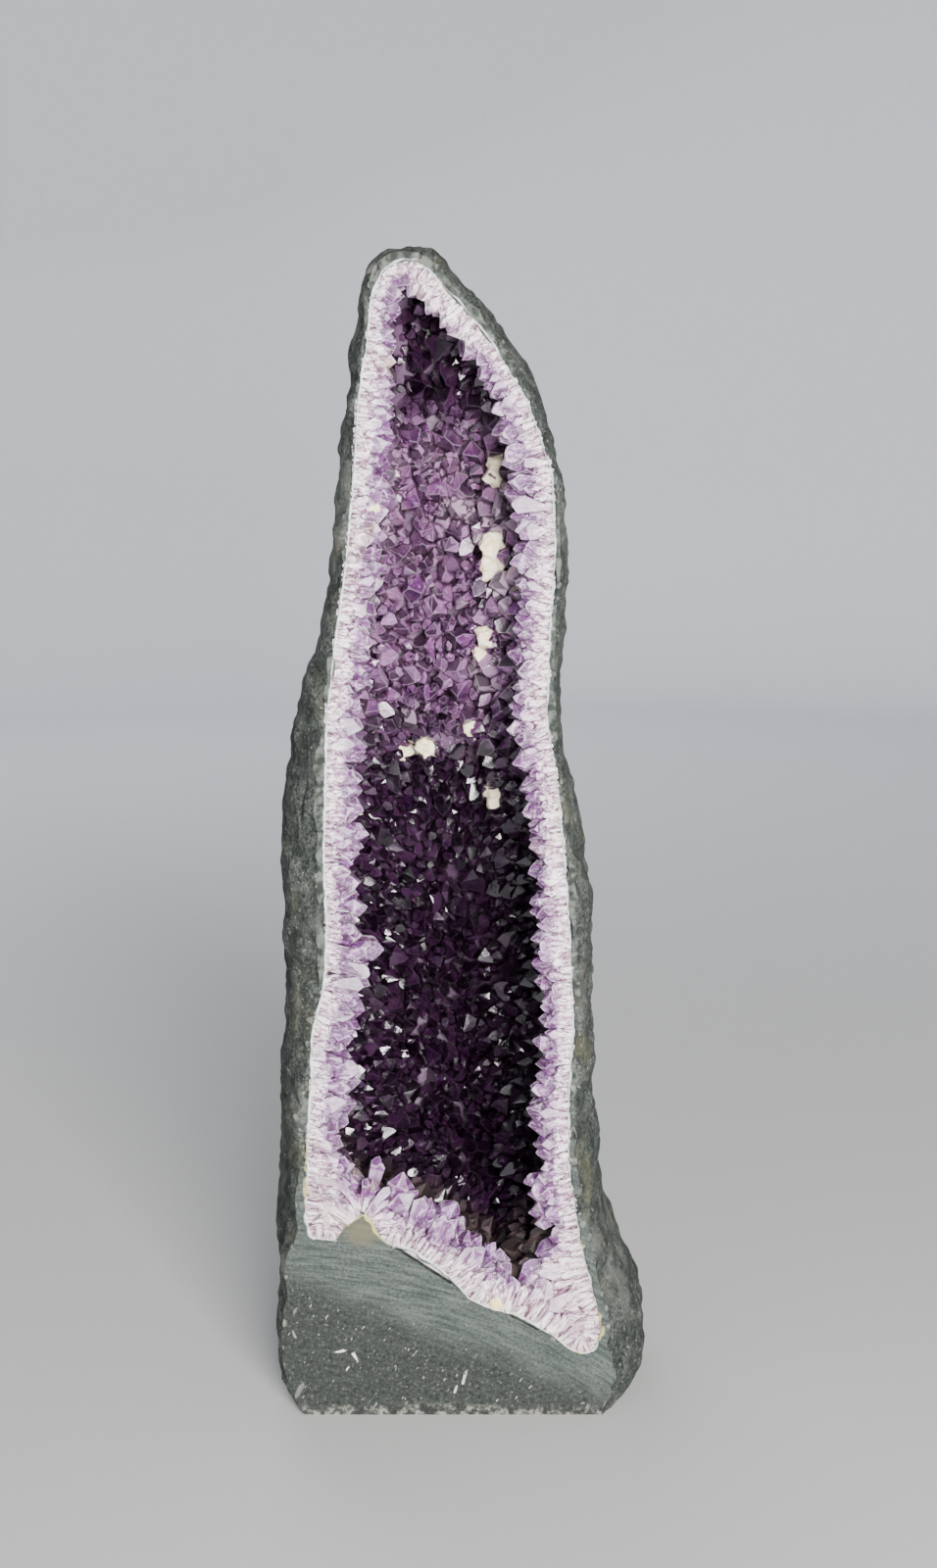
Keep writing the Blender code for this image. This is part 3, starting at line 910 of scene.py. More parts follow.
def build_rind(rim, rock_tree, grown=0.0):
    """A ring along the edge of the hollow; grown makes the slightly larger body that clears its seat."""
    widths = rind_widths(rim, rock_tree) + grown
    lift = grown * 20.0
    # How far outward each line of the ring lies, how far behind the front, and its share across the rind.
    profile = (
        (widths, RIND_DEPTH + grown, 0.0),
        (widths, 0.0002 - lift, 0.15),
        (widths * 0.4, 0.0004 - lift, 0.45),
        (widths * 0.0 - RIND_INSIDE * 0.5, 0.0010 - lift, 0.8),
        (widths * 0.0 - RIND_INSIDE, RIND_DEPTH + grown, 1.0),
    )
    points = []
    for index in range(rim.count):
        for offsets, behind, _ in profile:
            place = rim.points[index] + rim.outward[index] * offsets[index]
            points.append((place[0], FRONT + behind, place[2]))
    rows = len(profile)
    faces = []
    for start in range(0, rim.count * rows, rows):
        following = (start + rows) % (rim.count * rows)
        for row in range(rows):
            above = (row + 1) % rows
            faces.append((start + row, following + row, following + above, start + above))
    ring = closed_object("agate_rind", points, faces)
    set_value(ring.data, "across", [share for _, _, share in profile] * rim.count)
    return ring


# Basalt.


def chip_bodies(rock):
    """Small uneven bodies along the sawn edges, far enough apart not to touch, to be cut out as chips."""
    rng = np.random.default_rng(CHIP_SEED)
    corners = points_of(rock.data)
    on_edges = corners[sorted(sawn_edge_corners(rock))]
    edges = sorted(tuple(round(float(part), 5) for part in corner) for corner in on_edges)
    rock_tree = BVHTree.FromObject(rock, bpy.context.evaluated_depsgraph_get())
    chips = []
    for column, row, radius, fresh in KNOCKS:
        place = np.array(seen_at(column, row, rock_tree) or seen_on_plane(column, row))
        place[1] -= radius * KNOCK_LIFT
        turn = Matrix.Rotation(KNOCK_TURN + rng.normal(0.0, 0.4), 3, "Y")
        chips.append((place, radius, KNOCK_STRETCH, turn, fresh))
    for _ in range(CHIP_COUNT):
        place = np.array(edges[rng.integers(0, len(edges))])
        radius = CHIP_RADIUS[0] + (CHIP_RADIUS[1] - CHIP_RADIUS[0]) * rng.uniform() ** 3
        place = place + rng.normal(0.0, radius * 0.35, 3)
        stretch = rng.uniform(0.6, 1.5, 3)
        turn = Vector(rng.normal(0.0, 1.0, 3)).to_track_quat("Z", "Y").to_matrix()
        if all(np.linalg.norm(place - other) >= (radius + reach) * 1.6 for other, reach, *_ in chips):
            chips.append((place, radius, stretch, turn, rng.uniform(0.1, 0.7) if radius < 0.004 else 0.3))
    bm = bmesh.new()
    freshness = []
    for place, radius, stretch, turn, fresh in chips:
        made = bmesh.ops.create_icosphere(bm, subdivisions=2, radius=radius)
        freshness += [fresh] * 80
        for vertex in made["verts"]:
            uneven = 1.0 + 0.55 * noise_at(vertex.co + Vector(place), radius * 0.8, 2.0)
            shaped = Vector([part * uneven * factor for part, factor in zip(vertex.co, stretch)])
            vertex.co = Vector(place) + turn @ shaped
    bodies = object_from("chips", bm)
    set_value(bodies.data, "fresh", freshness, "FACE")
    return bodies


def is_sawn(face):
    """Whether a face of the rock lies on the sawn front or the sawn bottom."""
    front = face.normal.y < -0.999 and face.center.y < FRONT + FLAT
    return front or (face.normal.z < -0.999 and face.center.z < FLAT)


def sawn_edge_corners(rock):
    """Corners of the rock that lie on a sawn face and on the natural surface."""
    sawn = set()
    natural = set()
    for face in rock.data.polygons:
        (sawn if is_sawn(face) else natural).update(face.vertices)
    return sawn & natural


def tangent_shift(vertex, sawn_faces, saw_direction):
    """The way along the natural surface to the sawing allowance past the sawn plane."""
    natural = [face.normal for face in vertex.link_faces if face not in sawn_faces]
    normal = sum(natural, Vector((0.0, 0.0, 0.0))).normalized()
    share = normal.dot(saw_direction)
    if abs(share) > 0.8:
        return saw_direction * SAWING_ALLOWANCE
    return (saw_direction - normal * share) * SAWING_ALLOWANCE / (1.0 - share * share)


def extend_past_saw(bm, plane_height, saw_direction):
    """Lengthens the body past a sawn plane, so that the plane can be cut afresh later."""
    sawn = []
    for face in bm.faces:
        level = all(abs(vertex.co.dot(saw_direction) - plane_height) < 2.0 * FLAT for vertex in face.verts)
        if level and face.normal.dot(saw_direction) > 0.99:
            sawn.append(face)
    vertices = {vertex for face in sawn for vertex in face.verts}
    shifts = {vertex.index: tangent_shift(vertex, sawn, saw_direction) for vertex in vertices}
    source = bm.verts.layers.int.new("source")
    for vertex in bm.verts:
        vertex[source] = vertex.index
    for item in bmesh.ops.extrude_face_region(bm, geom=sawn)["geom"]:
        if isinstance(item, bmesh.types.BMVert):
            item.co += shifts[item[source]]
    bm.verts.layers.int.remove(source)
    bm.normal_update()
    bm.verts.index_update()
    bm.faces.index_update()


def relief(point):
    """Height of the rock's natural surface over its smooth form."""
    lump = noise_at(point, LUMP_SIZE, 3.0) * LUMP_HEIGHT
    knob = noise_at(point, KNOB_SIZE, 7.0) * KNOB_HEIGHT
    pit = max(0.0, noise_at(point, PIT_SIZE, 11.0) - 0.25) * PIT_DEPTH * -2.0
    ridge = (1.0 - 2.0 * abs(noise_at(point, RIDGE_SIZE, 17.0))) * RIDGE_HEIGHT
    return lump + knob + pit + ridge


def build_rock(wall, rim):
    """The basalt shell with a weathered outside; its front and bottom are cut flat again at the end."""
    bm = merged_mesh("basalt_shell")
    bm.normal_update()
    bm.verts.index_update()
    extend_past_saw(bm, -FRONT, TO_FRONT)
    extend_past_saw(bm, 0.0, -UP)
    rock = object_from("basalt_rock", bm)
    remesh(rock, ROCK_VOXEL)
    smooth = rock.modifiers.new("smooth", "SMOOTH")
    smooth.factor = 0.5
    smooth.iterations = ROCK_SMOOTHING
    evaluated_mesh(rock)
    roughen(rock, wall)
    join(rock, front_prism("recess", LOWER_EDGE + EDGE_INSIDE, EDGE_DEPTH), "DIFFERENCE")
    join(rock, front_prism("notch", NOTCH, EDGE_DEPTH * 0.8), "UNION")
    saw_off(rock)
    join(rock, chip_bodies(rock), "DIFFERENCE")
    join(rock, build_rind(rim, wall.rock, 0.00005), "DIFFERENCE")
    mark_sawn(rock)
    return rock


def roughen(rock, wall):
    """Raises the relief, fading it out in the hollow, and rounds the corners of the base."""
    points = points_of(rock.data)
    normals = np.empty(points.size)
    rock.data.vertices.foreach_get("normal", normals)
    normals = normals.reshape(-1, 3)
    for point, normal in zip(points, normals):
        _, into_hollow, _, gap = wall.tree.find_nearest(Vector(point), WALL_BLEND * 2.0)
        height = relief(point)
        if gap is not None:
            near = 1.0 - smooth_step(0.004, WALL_BLEND, gap)
            height *= 1.0 - near * smooth_step(-0.5, 0.1, into_hollow.dot(Vector(normal)))
            height = max(height, min(0.0, WALL_LEAST - gap))
        point += normal * height
        pull = max(0.0, 1.0 - max(0.0, point[2]) / CORNER_HEIGHT) ** 2 * CORNER_PULL
        point[0] -= math.copysign(pull, point[0]) * smooth_step(0.070, 0.105, abs(point[0]))
    points[:, 0] = np.maximum(points[:, 0], SHELL_LOW[0] + MARGIN)
    points = np.minimum(points, np.array(SHELL_HIGH) - MARGIN)
    set_points(rock.data, points)


def box_body(low, high):
    bm = bmesh.new()
    size = Vector(high) - Vector(low)
    middle = (Vector(high) + Vector(low)) / 2.0
    bmesh.ops.create_cube(bm, size=1.0, matrix=Matrix.Translation(middle) @ Matrix.Diagonal(size.to_4d()))
    return object_from("box", bm)


def front_prism(name, pixels, depth):
    """A body with this outline on the photograph, from before the sawn front to this depth behind it."""
    count = len(pixels)
    places = [seen_on_plane(*pixel) for pixel in pixels]
    levels = (FRONT - SAWING_ALLOWANCE * 2.0, FRONT + depth)
    points = [(place.x, level, place.z) for level in levels for place in places]
    faces = []
    for index in range(count):
        following = (index + 1) % count
        faces.append([index, following, following + count, index + count])
    faces += [list(range(count)), list(range(2 * count - 1, count - 1, -1))]
    return closed_object(name, points, faces)


def saw_off(rock):
    """Cuts the front and the bottom flat."""
    reach = 0.5
    join(rock, box_body((-reach, FRONT - reach, -reach), (reach, FRONT, 2.0)), "DIFFERENCE")
    join(rock, box_body((-reach, -reach, -reach), (reach, reach, 0.0)), "DIFFERENCE")
    set_value(rock.data, "fresh", [0.0] * len(rock.data.polygons), "FACE")


def mark_sawn(rock):
    """Marks the sawn faces, and shades all but those and the fresh chips smooth."""
    mesh = rock.data
    sawn = [is_sawn(face) for face in mesh.polygons]
    fresh = [item.value >= 0.5 for item in mesh.attributes["fresh"].data]
    set_value(mesh, "sawn", sawn, "FACE")
    mesh.polygons.foreach_set("use_smooth", [not (flat or new) for flat, new in zip(sawn, fresh)])
    mesh.update()


# Materials.


class Value:
    """A number, colour or place that runs from node to node; arithmetic on it adds nodes."""

    def __init__(self, socket):
        self.socket = socket
        self.tree = socket.id_data

    def maths(self, operation, *others):
        inputs = dict(enumerate((self, *others)))
        return Value(add_node(self.tree, "Math", inputs, operation=operation).outputs[0])

    def __add__(self, other):
        return self.maths("ADD", other)

    def __sub__(self, other):
        return self.maths("SUBTRACT", other)

    def __mul__(self, other):
        return self.maths("MULTIPLY", other)

    def range(self, low, high, to_low=0.0, to_high=1.0):
        """Runs smoothly from one number to another while this value runs from low to high."""
        inputs = {"Value": self, "From Min": low, "From Max": high, "To Min": to_low, "To Max": to_high}
        node = add_node(self.tree, "MapRange", inputs, interpolation_type="SMOOTHSTEP")
        return Value(node.outputs["Result"])

    def steps(self, *stops):
        """A colour ramp; each stop is a position and a linear colour."""
        node = add_node(self.tree, "ValToRGB", {"Fac": self})
        elements = node.color_ramp.elements
        while len(elements) < len(stops):
            elements.new(0.5)
        for element, (position, colour) in zip(elements, stops):
            element.position = position
            element.color = (*colour, 1.0)
        return Value(node.outputs["Color"])


def connect(value, target):
    """Links a value to an input, or sets the input to a number or colour."""
    if isinstance(value, Value):
        target.id_data.links.new(value.socket, target)
    elif isinstance(value, tuple):
        target.default_value = value if len(target.default_value) == len(value) else (*value, 1.0)
    else:
        target.default_value = value


def add_node(tree, kind, inputs, **settings):
    node = tree.nodes.new("ShaderNode" + kind)
    for name, setting in settings.items():
        setattr(node, name, setting)
    for name, value in inputs.items():
        connect(value, node.inputs[name])
    return node


def layered(colour, *layers):
    """More colours laid over one in turn: each with its share, colour and, if need be, blend mode."""
    for share, over, *blend in layers:
        colour = mix(share, colour, over, *blend)
    return colour


def combine(*parts):
    tree = next(part.tree for part in parts if isinstance(part, Value))
    return Value(add_node(tree, "CombineXYZ", dict(enumerate(parts))).outputs[0])


def mix(share, first, second, blend="MIX"):
    tree = next(part.tree for part in (share, first, second) if isinstance(part, Value))
    inputs = {0: share, 6: first, 7: second}
    return Value(add_node(tree, "Mix", inputs, data_type="RGBA", blend_type=blend).outputs[2])


class Shader:
    """One material: its surface, the place on the object, and short calls for what varies over it."""

    def __init__(self, name):
        self.material = bpy.data.materials.new(name)
        self.material.use_nodes = True
        self.tree = self.material.node_tree
        self.tree.nodes.clear()
        self.surface = add_node(self.tree, "BsdfPrincipled", {})
        self.output = add_node(self.tree, "OutputMaterial", {"Surface": Value(self.surface.outputs[0])})
        self.place = Value(add_node(self.tree, "TexCoord", {}).outputs["Object"])
        parts = add_node(self.tree, "SeparateXYZ", {0: self.place}).outputs
        self.x, self.y, self.z = [Value(part) for part in parts]

    def set(self, inputs):
        for name, value in inputs.items():
            connect(value, self.surface.inputs[name])

    def value(self, name):
        """A number that the mesh carries."""
        return Value(add_node(self.tree, "Attribute", {}, attribute_name=name).outputs["Fac"])

    def noise(self, scale, detail=4.0, roughness=0.55, place=None, distortion=0.0):
        inputs = {"Scale": scale, "Detail": detail, "Roughness": roughness, "Distortion": distortion}
        inputs["Vector"] = place or self.place
        return Value(add_node(self.tree, "TexNoise", inputs).outputs["Fac"])

    def bump(self, height, distance, strength=1.0):
        inputs = {"Height": height, "Distance": distance, "Strength": strength}
        self.set({"Normal": Value(add_node(self.tree, "Bump", inputs).outputs["Normal"])})


def basalt_material():
    """Two looks in one rock: dark, rough and weathered outside, smooth greenish grey where it was sawn."""
    shader = Shader("basalt")
    sawn = shader.value("sawn")
    fresh = shader.value("fresh")
    middle = shader.noise(60.0, 5.0, 0.65)
    fine = shader.noise(420.0, 5.0, 0.7)
    lines = saw_lines(shader)
    colour = mix(sawn, weathered_colour(shader, middle, fine), sawn_colour(shader, fine, lines))
    chipped = mix(middle.range(0.35, 0.65), (0.17, 0.175, 0.16), (0.38, 0.38, 0.355))
    chipped = mix(fresh.range(0.70, 1.0), chipped, (0.62, 0.62, 0.58))
    shader.set({"Base Color": mix(fresh, colour, chipped), "Roughness": sawn * -0.25 + 0.90})
    shader.set({"Specular IOR Level": 0.18})
    natural = middle * 1.4 + fine * 0.4
    ground = lines * 0.10 + fine * 0.05
    shader.bump(natural * (sawn * -1.0 + 1.0) + ground * sawn, 0.0022, 0.9)
    return shader.material


def saw_lines(shader):
    """The saw's sweep: uneven rings about a centre below the front."""
    x = shader.x - SAW_CENTRE[0]
    z = shader.z - SAW_CENTRE[1]
    radius = (x * x + z * z).maths("SQRT") * 340.0
    around = z.maths("ARCTAN2", x) * 11.0
    return shader.noise(1.0, 6.0, 0.74, combine(radius, around, 0.0))


def weathered_colour(shader, middle, fine):
    dark = middle.steps((0.30, (0.011, 0.014, 0.013)), (0.50, (0.034, 0.039, 0.036)),
                        (0.70, (0.082, 0.088, 0.078)))
    speckle = fine.steps((0.40, (0.40, 0.40, 0.40)), (0.60, (1.65, 1.65, 1.62)))
    flecks = shader.noise(260.0, 2.0, 0.5).range(0.64, 0.72, 0.0, 0.35)
    worn = shader.noise(14.0, 5.0, 0.7).range(0.54, 0.66, 0.0, 0.40)
    moss = shader.noise(22.0).range(0.56, 0.72, 0.0, 0.35)
    return layered(dark, (1.0, speckle, "MULTIPLY"), (flecks, (0.36, 0.36, 0.32)),
                   (worn, (0.135, 0.138, 0.125)), (moss, (0.100, 0.094, 0.052)))


def sawn_colour(shader, fine, lines):
    """Greenish grey with the saw's lines; duller at the sides and low on the left, cement at the bottom."""
    broad = shader.noise(11.0, 4.0, 0.6)
    colour = fine.steps((0.36, (0.030, 0.038, 0.035)), (0.50, (0.053, 0.064, 0.058)),
                        (0.64, (0.086, 0.101, 0.092)))
    colour = layered(colour, (lines.range(0.50, 0.62, 0.0, 0.55), (0.110, 0.127, 0.118)),
                     (lines.range(0.50, 0.38, 0.0, 0.62), (0.016, 0.022, 0.019)))
    ragged = shader.noise(120.0, 4.0, 0.7).range(0.40, 0.62)
    side = mix(ragged, (0.013, 0.017, 0.014), (0.108, 0.116, 0.100))
    cement = shader.noise(150.0, 4.0, 0.65).steps(
        (0.44, (0.018, 0.020, 0.018)), (0.54, (0.080, 0.082, 0.072)), (0.60, (0.24, 0.23, 0.20))
    )
    return layered(
        with_dull_area(shader, colour, broad), (shader.z.range(0.20, 0.27, 0.0, 0.90), side),
        (near_stain(shader, broad) * 0.65, (0.120, 0.108, 0.064)),
        ((broad * 0.020 + shader.z).range(0.021, 0.012, 0.0, 0.80), cement)
    )


def with_dull_area(shader, colour, broad):
    """A dark, unpolished area low on the left, with its edge sloping down to the right, with pale flecks
    and short scratches that slant up to the right."""
    dull = (shader.x * -0.42 + broad * 0.035 - shader.z).range(-0.062, -0.026)
    grain = shader.noise(330.0, 5.0, 0.75)
    slant = (shader.z * -0.6 + shader.x) * 420.0
    length = (shader.x * 0.6 + shader.z) * 110.0
    strokes = shader.noise(1.0, 2.0, 0.5, combine(slant, length, 0.0)).range(0.68, 0.73)
    flecks = shader.noise(420.0, 2.0, 0.5).range(0.70, 0.75)
    return layered(
        colour, (dull * 0.82, (0.020, 0.023, 0.021)),
        (dull * grain.range(0.54, 0.66, 0.0, 0.50), (0.125, 0.133, 0.120)),
        (dull * grain.range(0.48, 0.38, 0.0, 0.70), (0.004, 0.005, 0.004)),
        (strokes.maths("MAXIMUM", flecks) * dull, (0.38, 0.38, 0.35))
    )


def near_stain(shader, broad):
    """1 in the ochre stain under the lower left corner of the band, fading to 0 around it."""
    x = shader.x - STAIN_PLACE[0]
    z = shader.z - STAIN_PLACE[2]
    gap = (z * z * 1.6 + x * x).maths("SQRT")
    return (gap + broad * 0.012).range(0.026, 0.012)


def rim_material():
    """White at the rock, lavender across the band and purple at the points. Fibres run across it, with wider
    dark splits between bundles of them. Light and shade are painted on the facets of its points, shade into
    the clefts between crystals and highlights along their edges."""
    shader = Shader("broken_quartz")
    depth = shader.value("depth")
    tint = shader.value("tint")
    colour = (shader.noise(60.0) * 0.44 + depth - 0.22).steps(
        (0.08, (0.86, 0.72, 0.68)), (0.30, (0.67, 0.45, 0.53)),
        (0.54, (0.47, 0.25, 0.44)), (0.80, (0.20, 0.065, 0.24))
    )
    inner = depth.range(0.45, 0.95)
    fibre_place = combine(shader.value("along") * 380.0, depth * 2.6, tint)
    fibres = shader.noise(1.0, 6.0, 0.80, fibre_place)
    split = (shader.noise(0.42, 3.0, 0.6, fibre_place) - 0.5).maths("ABSOLUTE")
    colour = layered(
        colour, (fibres.range(0.48, 0.55) * inner.range(0.0, 1.0, 0.95, 0.25), (1.0, 0.965, 0.945)),
        (fibres.range(0.47, 0.41) * inner.range(0.0, 1.0, 0.92, 0.45), (0.13, 0.050, 0.095)),
        (split.range(0.036, 0.008, 0.0, 0.85), (0.10, 0.040, 0.085)),
        (shader.noise(34.0, 3.0).range(0.52, 0.68, 0.0, 0.50), (0.62, 0.44, 0.62), "MULTIPLY"),
        (tint.range(0.55, 1.0, 0.0, 0.35), (0.66, 0.46, 0.66), "MULTIPLY"),
        # Painted light and shade: towards the points, each facet made lighter or darker.
        (inner, shader.value("facet_shade").range(0.0, 1.0, 0.62, 1.22), "MULTIPLY"),
        (shader.noise(19.0, 3.0).range(0.62, 0.74, 0.0, 0.6), (0.80, 0.66, 0.48)),
        # Painted shade in the clefts between crystals.
        (shader.value("cleft_shade").range(0.45, 1.0, 0.0, 0.70), (0.30, 0.17, 0.30), "MULTIPLY"),
        # Painted highlights along the free edges and points.
        (shader.value("edge").range(0.80, 0.97, 0.0, 0.32), (0.92, 0.82, 0.91))
    )
    shader.set({"Base Color": colour, "Roughness": shader.noise(160.0, 3.0).range(0.3, 0.7, 0.10, 0.34)})
    shader.set({"IOR": QUARTZ_IOR, "Transmission Weight": 0.08})
    shader.bump(fibres * 0.9 + shader.noise(240.0), 0.0012, 0.8)
    return shader.material


def amethyst_material():
    """Deep purple at the points and paler below, with cloudy crystals between clear ones. Shade is painted
    into the lower hollow and the very top, and into the clefts between crystals; light and shade are painted
    on the facets and highlights along the edges. The crystals on the floor are smoky grey."""
    shader = Shader("amethyst")
    tint = shader.value("tint")
    facet_shade = shader.value("facet_shade")
    colour = (shader.noise(70.0) * 0.5 + shader.value("depth") - 0.25).steps(
        (0.30, (0.40, 0.25, 0.38)), (0.60, (0.30, 0.135, 0.28)),
        (0.85, (0.17, 0.055, 0.18)), (1.05, (0.105, 0.028, 0.120))
    )
    cloud = shader.noise(170.0, 5.0, 0.65, distortion=0.8).range(0.50, 0.68, 0.0, 0.60)
    floor = shader.z.range(0.235, 0.175, 0.0, 0.80) * shader.y.range(FRONT + 0.10, FRONT + 0.04)
    colour = layered(
        colour, (tint.range(0.60, 1.0, 0.0, 0.60), (0.42, 0.235, 0.43)), (cloud, (0.52, 0.34, 0.53)),
        (shader.value("pale") * 0.60, (0.64, 0.48, 0.60)),
        # Painted light and shade: each facet made lighter or darker.
        (1.0, facet_shade.range(0.0, 1.0, 0.26, 1.50), "MULTIPLY"),
        # Painted highlights along the free edges and points.
        (shader.value("edge").range(0.80, 0.97, 0.0, 0.38), (0.66, 0.52, 0.66)),
        # Painted shade in the clefts between crystals.
        (shader.value("cleft_shade").range(0.30, 1.0, 0.0, 0.90), (0.14, 0.085, 0.13), "MULTIPLY"),
        # Painted shade: darker from 0.60 m down to 0.50 m and below, in the lower hollow.
        (shader.z.range(0.60, 0.50, 0.0, 0.96), (0.095, 0.052, 0.098), "MULTIPLY"),
        # Painted shade: darker from 0.755 m up to 0.805 m and above, at the top of the hollow.
        (shader.z.range(0.755, 0.805, 0.0, 0.96), (0.10, 0.052, 0.10), "MULTIPLY"),
        # Smoky grey crystals on the floor, lighter and darker by facet as painted light and shade.
        (floor, mix(facet_shade, (0.030, 0.021, 0.021), (0.22, 0.165, 0.150)))
    )
    etched = tint.range(0.62, 0.40, 0.0, 0.16)
    roughness = shader.noise(90.0, 3.0).range(0.3, 0.7, 0.03, 0.13) + etched
    shader.set({"Base Color": colour, "Roughness": roughness})
    shader.set({"IOR": QUARTZ_IOR, "Transmission Weight": 0.52})
    shader.bump(shader.noise(190.0, 4.0, 0.6), 0.0005, 0.4)
    absorption = add_node(shader.tree, "VolumeAbsorption", {"Color": (0.64, 0.28, 0.64), "Density": 75.0})
    connect(Value(absorption.outputs[0]), shader.output.inputs["Volume"])
    return shader.material


def calcite_material():
    """Mottled cream, with dark specks; ochre at the lower edge of the band."""
    shader = Shader("calcite")
    mottled = shader.noise(160.0, 5.0, 0.65)
    colour = layered(
        mottled.steps((0.32, (0.55, 0.42, 0.25)), (0.48, (0.80, 0.69, 0.49)), (0.66, (0.90, 0.83, 0.68))),
        (shader.noise(520.0, 2.0, 0.5).range(0.68, 0.74, 0.0, 0.6), (0.30, 0.22, 0.14)),
        (shader.z.range(0.16, 0.12), (0.82, 0.66, 0.30))
    )
    shader.set({"Base Color": colour, "Roughness": mottled.range(0.3, 0.7, 0.40, 0.62)})
    shader.bump(shader.noise(380.0, 4.0, 0.6), 0.0008, 0.7)
    return shader.material


def agate_material():
    """Bands along the rind: a dark line at the rock, bluish grey, then white chalcedony."""
    shader = Shader("agate")
    across = shader.noise(190.0, 5.0, 0.7) * 1.1 + shader.value("across") - 0.55
    colour = across.steps((0.10, (0.030, 0.036, 0.036)), (0.24, (0.22, 0.27, 0.31)),
                          (0.46, (0.44, 0.50, 0.56)), (0.80, (0.72, 0.72, 0.71)))
    dark = across.steps((0.16, (0.012, 0.016, 0.014)), (0.42, (0.055, 0.065, 0.055)),
                        (0.56, (0.30, 0.34, 0.36)), (0.85, (0.74, 0.74, 0.70)))
    low = shader.z.range(0.27, 0.20)
    ochre = shader.noise(60.0).range(0.54, 0.62).maths("MAXIMUM", near_stain(shader, 0.0))
    colour = mix(ochre * low, mix(low, colour, dark), (0.34, 0.31, 0.12))
    shader.set({"Base Color": colour, "Roughness": 0.42})
    shader.bump(shader.noise(300.0), 0.0007, 0.6)
    return shader.material


def quartz_material():
    """Purple between the crystals, darker further in, partly the quartz's own colour and partly painted
    shade; milky at the sawn front.
    """
    shader = Shader("milky_quartz")
    # Darker further from the wall: the quartz's own purple with painted shade between the crystals.
    inner = (shader.noise(90.0) * 0.25 + shader.value("depth")).steps(
        (0.10, (0.16, 0.085, 0.15)), (0.36, (0.060, 0.026, 0.062)), (0.60, (0.03, 0.01, 0.033))
    )
    colour = mix(shader.y.range(FRONT + 0.012, FRONT + 0.004), inner, (0.72, 0.64, 0.67))
    shader.set({"Base Color": colour, "Roughness": shader.noise(120.0, 3.0).range(0.3, 0.7, 0.35, 0.6)})
    shader.bump(shader.noise(260.0, 5.0, 0.65), 0.0015, 0.8)
    return shader.material


def paper_material():
    """Pale grey paper, which gets lighter away from the middle: painted light, which makes up for the weaker
    light on the far wall.
    """
    shader = Shader("pale_paper")
    away = (shader.x * shader.x + shader.y * shader.y).maths("SQRT").range(0.4, ROOM_RADIUS * 0.85)
    grain = shader.noise(240.0, 3.0).range(0.3, 0.7, 0.0, 0.10)
    # Painted light: lighter towards the far wall, which the lamps light less.
    colour = mix(away, (0.41, 0.41, 0.405), (0.62, 0.635, 0.665))
    shader.set({"Base Color": mix(grain, colour, (0.30, 0.30, 0.31)), "Roughness": 0.9})
    return shader.material


# Stage, lights and camera.


def build_stage():
    """One pale sweep all around: a round floor, a quarter round and a wall, with room inside for any view."""
    profile = [(ROOM_RADIUS * share, 0.0) for share in (0.0, 0.15, 0.4, 0.7)]
    for step in range(ROOM_STEPS + 1):
        angle = math.pi / 2.0 * step / ROOM_STEPS
        across = ROOM_RADIUS - SWEEP_RADIUS + math.sin(angle) * SWEEP_RADIUS
        profile.append((across, SWEEP_RADIUS - math.cos(angle) * SWEEP_RADIUS))
    profile.append((ROOM_RADIUS, ROOM_HEIGHT))
    bm = bmesh.new()
    corners = [bm.verts.new((across, 0.0, z)) for across, z in profile]
    edges = [bm.edges.new(ends) for ends in zip(corners, corners[1:])]
    turn = {"axis": UP, "angle": math.tau, "steps": ROOM_SEGMENTS, "use_merge": True}
    bmesh.ops.spin(bm, geom=corners + edges, cent=(0.0, 0.0, 0.0), **turn)
    bmesh.ops.remove_doubles(bm, verts=bm.verts, dist=FLAT)
    sweep = object_from("studio_sweep", bm)
    sweep.data.shade_smooth()
    sweep.data.materials.append(paper_material())


def add_light(name, place, size, power, colour):
    """A soft light that shines on the geode's middle and isn't seen itself."""
    light = bpy.data.lights.new(name, "AREA")
    light.shape = "RECTANGLE"
    light.size, light.size_y = size
    light.energy = power
    light.color = colour
    lamp = bpy.data.objects.new(name, light)
    lamp.location = place
    lamp.rotation_euler = (LIGHT_TARGET - Vector(place)).to_track_quat("-Z", "Y").to_euler()
    lamp.visible_camera = False
    bpy.context.scene.collection.objects.link(lamp)


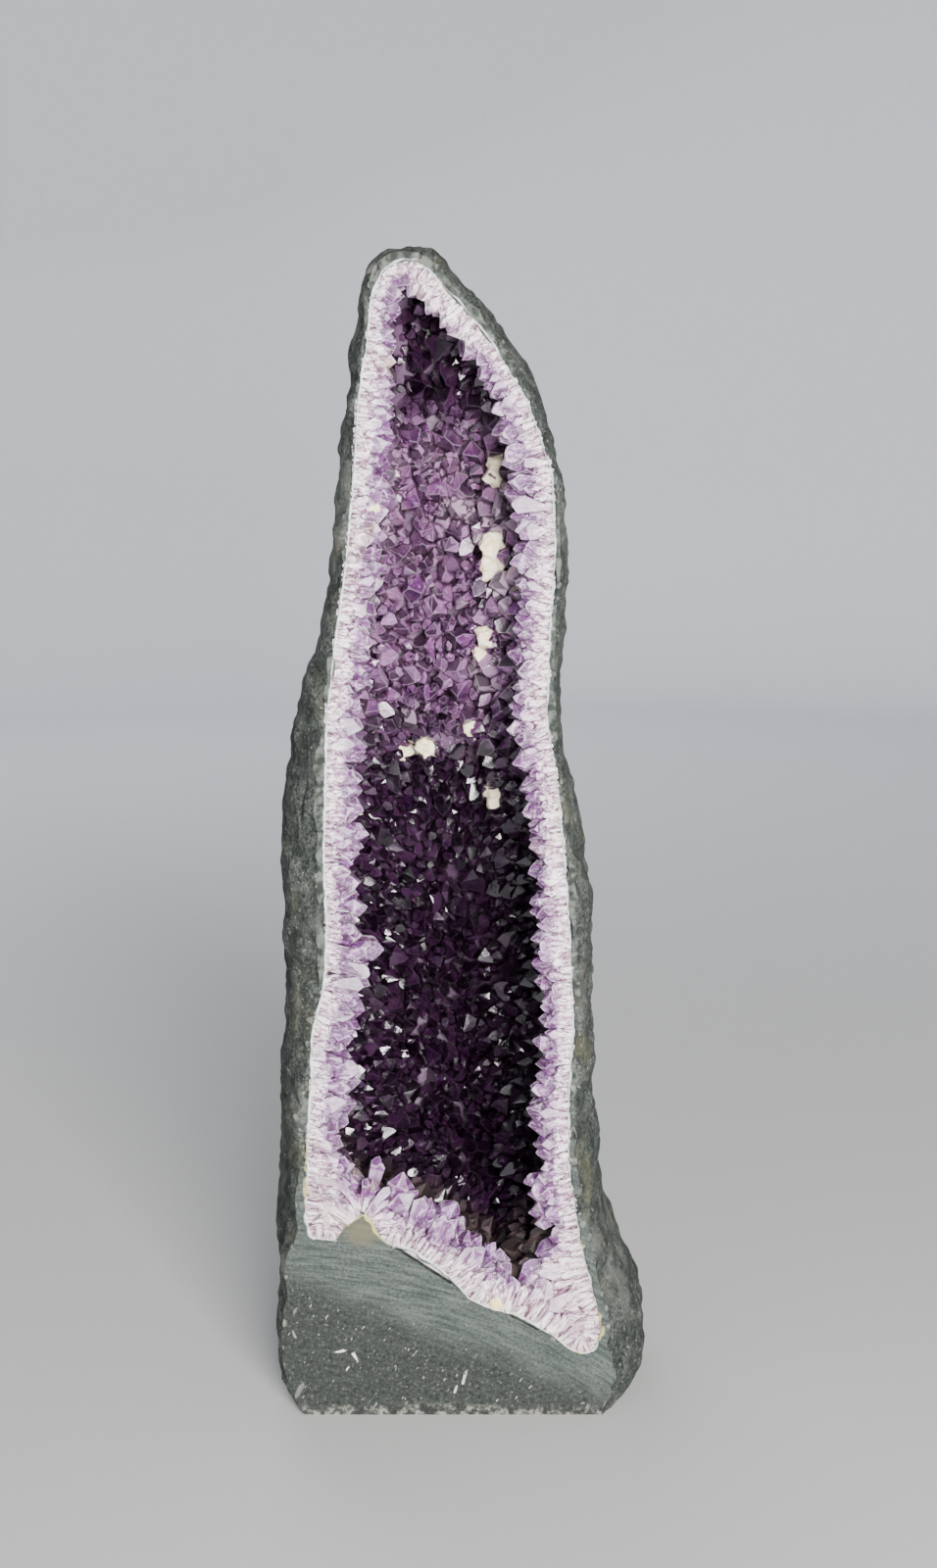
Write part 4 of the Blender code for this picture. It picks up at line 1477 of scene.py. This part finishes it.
def build_lights():
    """A key light from the right of the front, a weak cool fill from the left, one behind, and the world."""
    side = math.radians(KEY_SIDE)
    rise = math.radians(KEY_RISE)
    away = Vector((math.sin(side) * math.cos(rise), -math.cos(side) * math.cos(rise), math.sin(rise)))
    add_light("key", LIGHT_TARGET + away * KEY_DISTANCE, KEY_SIZE, KEY_POWER, (1.0, 0.98, 0.96))
    add_light("fill", (-1.6, -2.2, 1.9), (1.8, 1.8), FILL_POWER, (0.92, 0.95, 1.0))
    add_light("back", (-0.9, 2.4, 2.3), (1.8, 1.8), BACK_POWER, (0.95, 0.97, 1.0))
    world = bpy.data.worlds.new("studio")
    world.use_nodes = True
    background = world.node_tree.nodes["Background"]
    background.inputs["Color"].default_value = (0.93, 0.95, 1.0, 1.0)
    background.inputs["Strength"].default_value = WORLD_STRENGTH
    bpy.context.scene.world = world


def build_camera():
    camera = bpy.data.cameras.new("camera")
    camera.sensor_fit = "VERTICAL"
    camera.sensor_height = SENSOR_HEIGHT
    camera.lens = FOCAL_PIXELS / PHOTO_HEIGHT * SENSOR_HEIGHT
    camera.clip_start = 0.05
    placed = bpy.data.objects.new("camera", camera)
    placed.location = CAMERA_PLACE
    placed.rotation_euler = (math.pi / 2.0 - CAMERA_TILT, 0.0, 0.0)
    bpy.context.scene.collection.objects.link(placed)
    bpy.context.scene.camera = placed


def finish_piece(obj, material, node_name):
    obj.data.materials.clear()
    obj.data.materials.append(material)
    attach(obj, "root")
    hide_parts(node_name)


def main():
    noise.seed_set(NOISE_SEED)
    build_camera()
    build_lights()
    build_stage()
    wall = HollowWall()
    rim = RimLoop(wall)
    rng = np.random.default_rng(CRYSTAL_SEED)
    forms = [crystal_form(rng) for _ in range(FORM_COUNT)]
    at_front = place_rim_crystals(rim, forms, rng) + place_lip_crystals(forms, rng)
    inside = place_crystals(wall, at_front, forms, rng)
    pale_near_calcite(at_front + inside, wall)
    high = [crystal for crystal in inside if crystal.tip.z > PIECE_HEIGHT]
    low = [crystal for crystal in inside if crystal.tip.z <= PIECE_HEIGHT]
    amethyst = amethyst_material()
    pieces = (
        (build_rind(rim, wall.rock), agate_material()),
        (united("broken_crystals", crystal_parts(at_front, rng)), rim_material()),
        (united("amethyst_crystals", crystal_parts(high, rng)), amethyst),
        (united("amethyst_crystals_low", crystal_parts(low, rng)), amethyst),
        (build_quartz_base(wall), quartz_material()),
    )
    calcite = build_calcite([piece for piece, _ in pieces])
    for piece, material in pieces + ((calcite, calcite_material()),):
        set_growth(piece, wall, rim)
        finish_piece(piece, material, "amethyst_crust")
    rock = build_rock(wall, rim)
    finish_piece(rock, basalt_material(), "basalt_shell")


main()
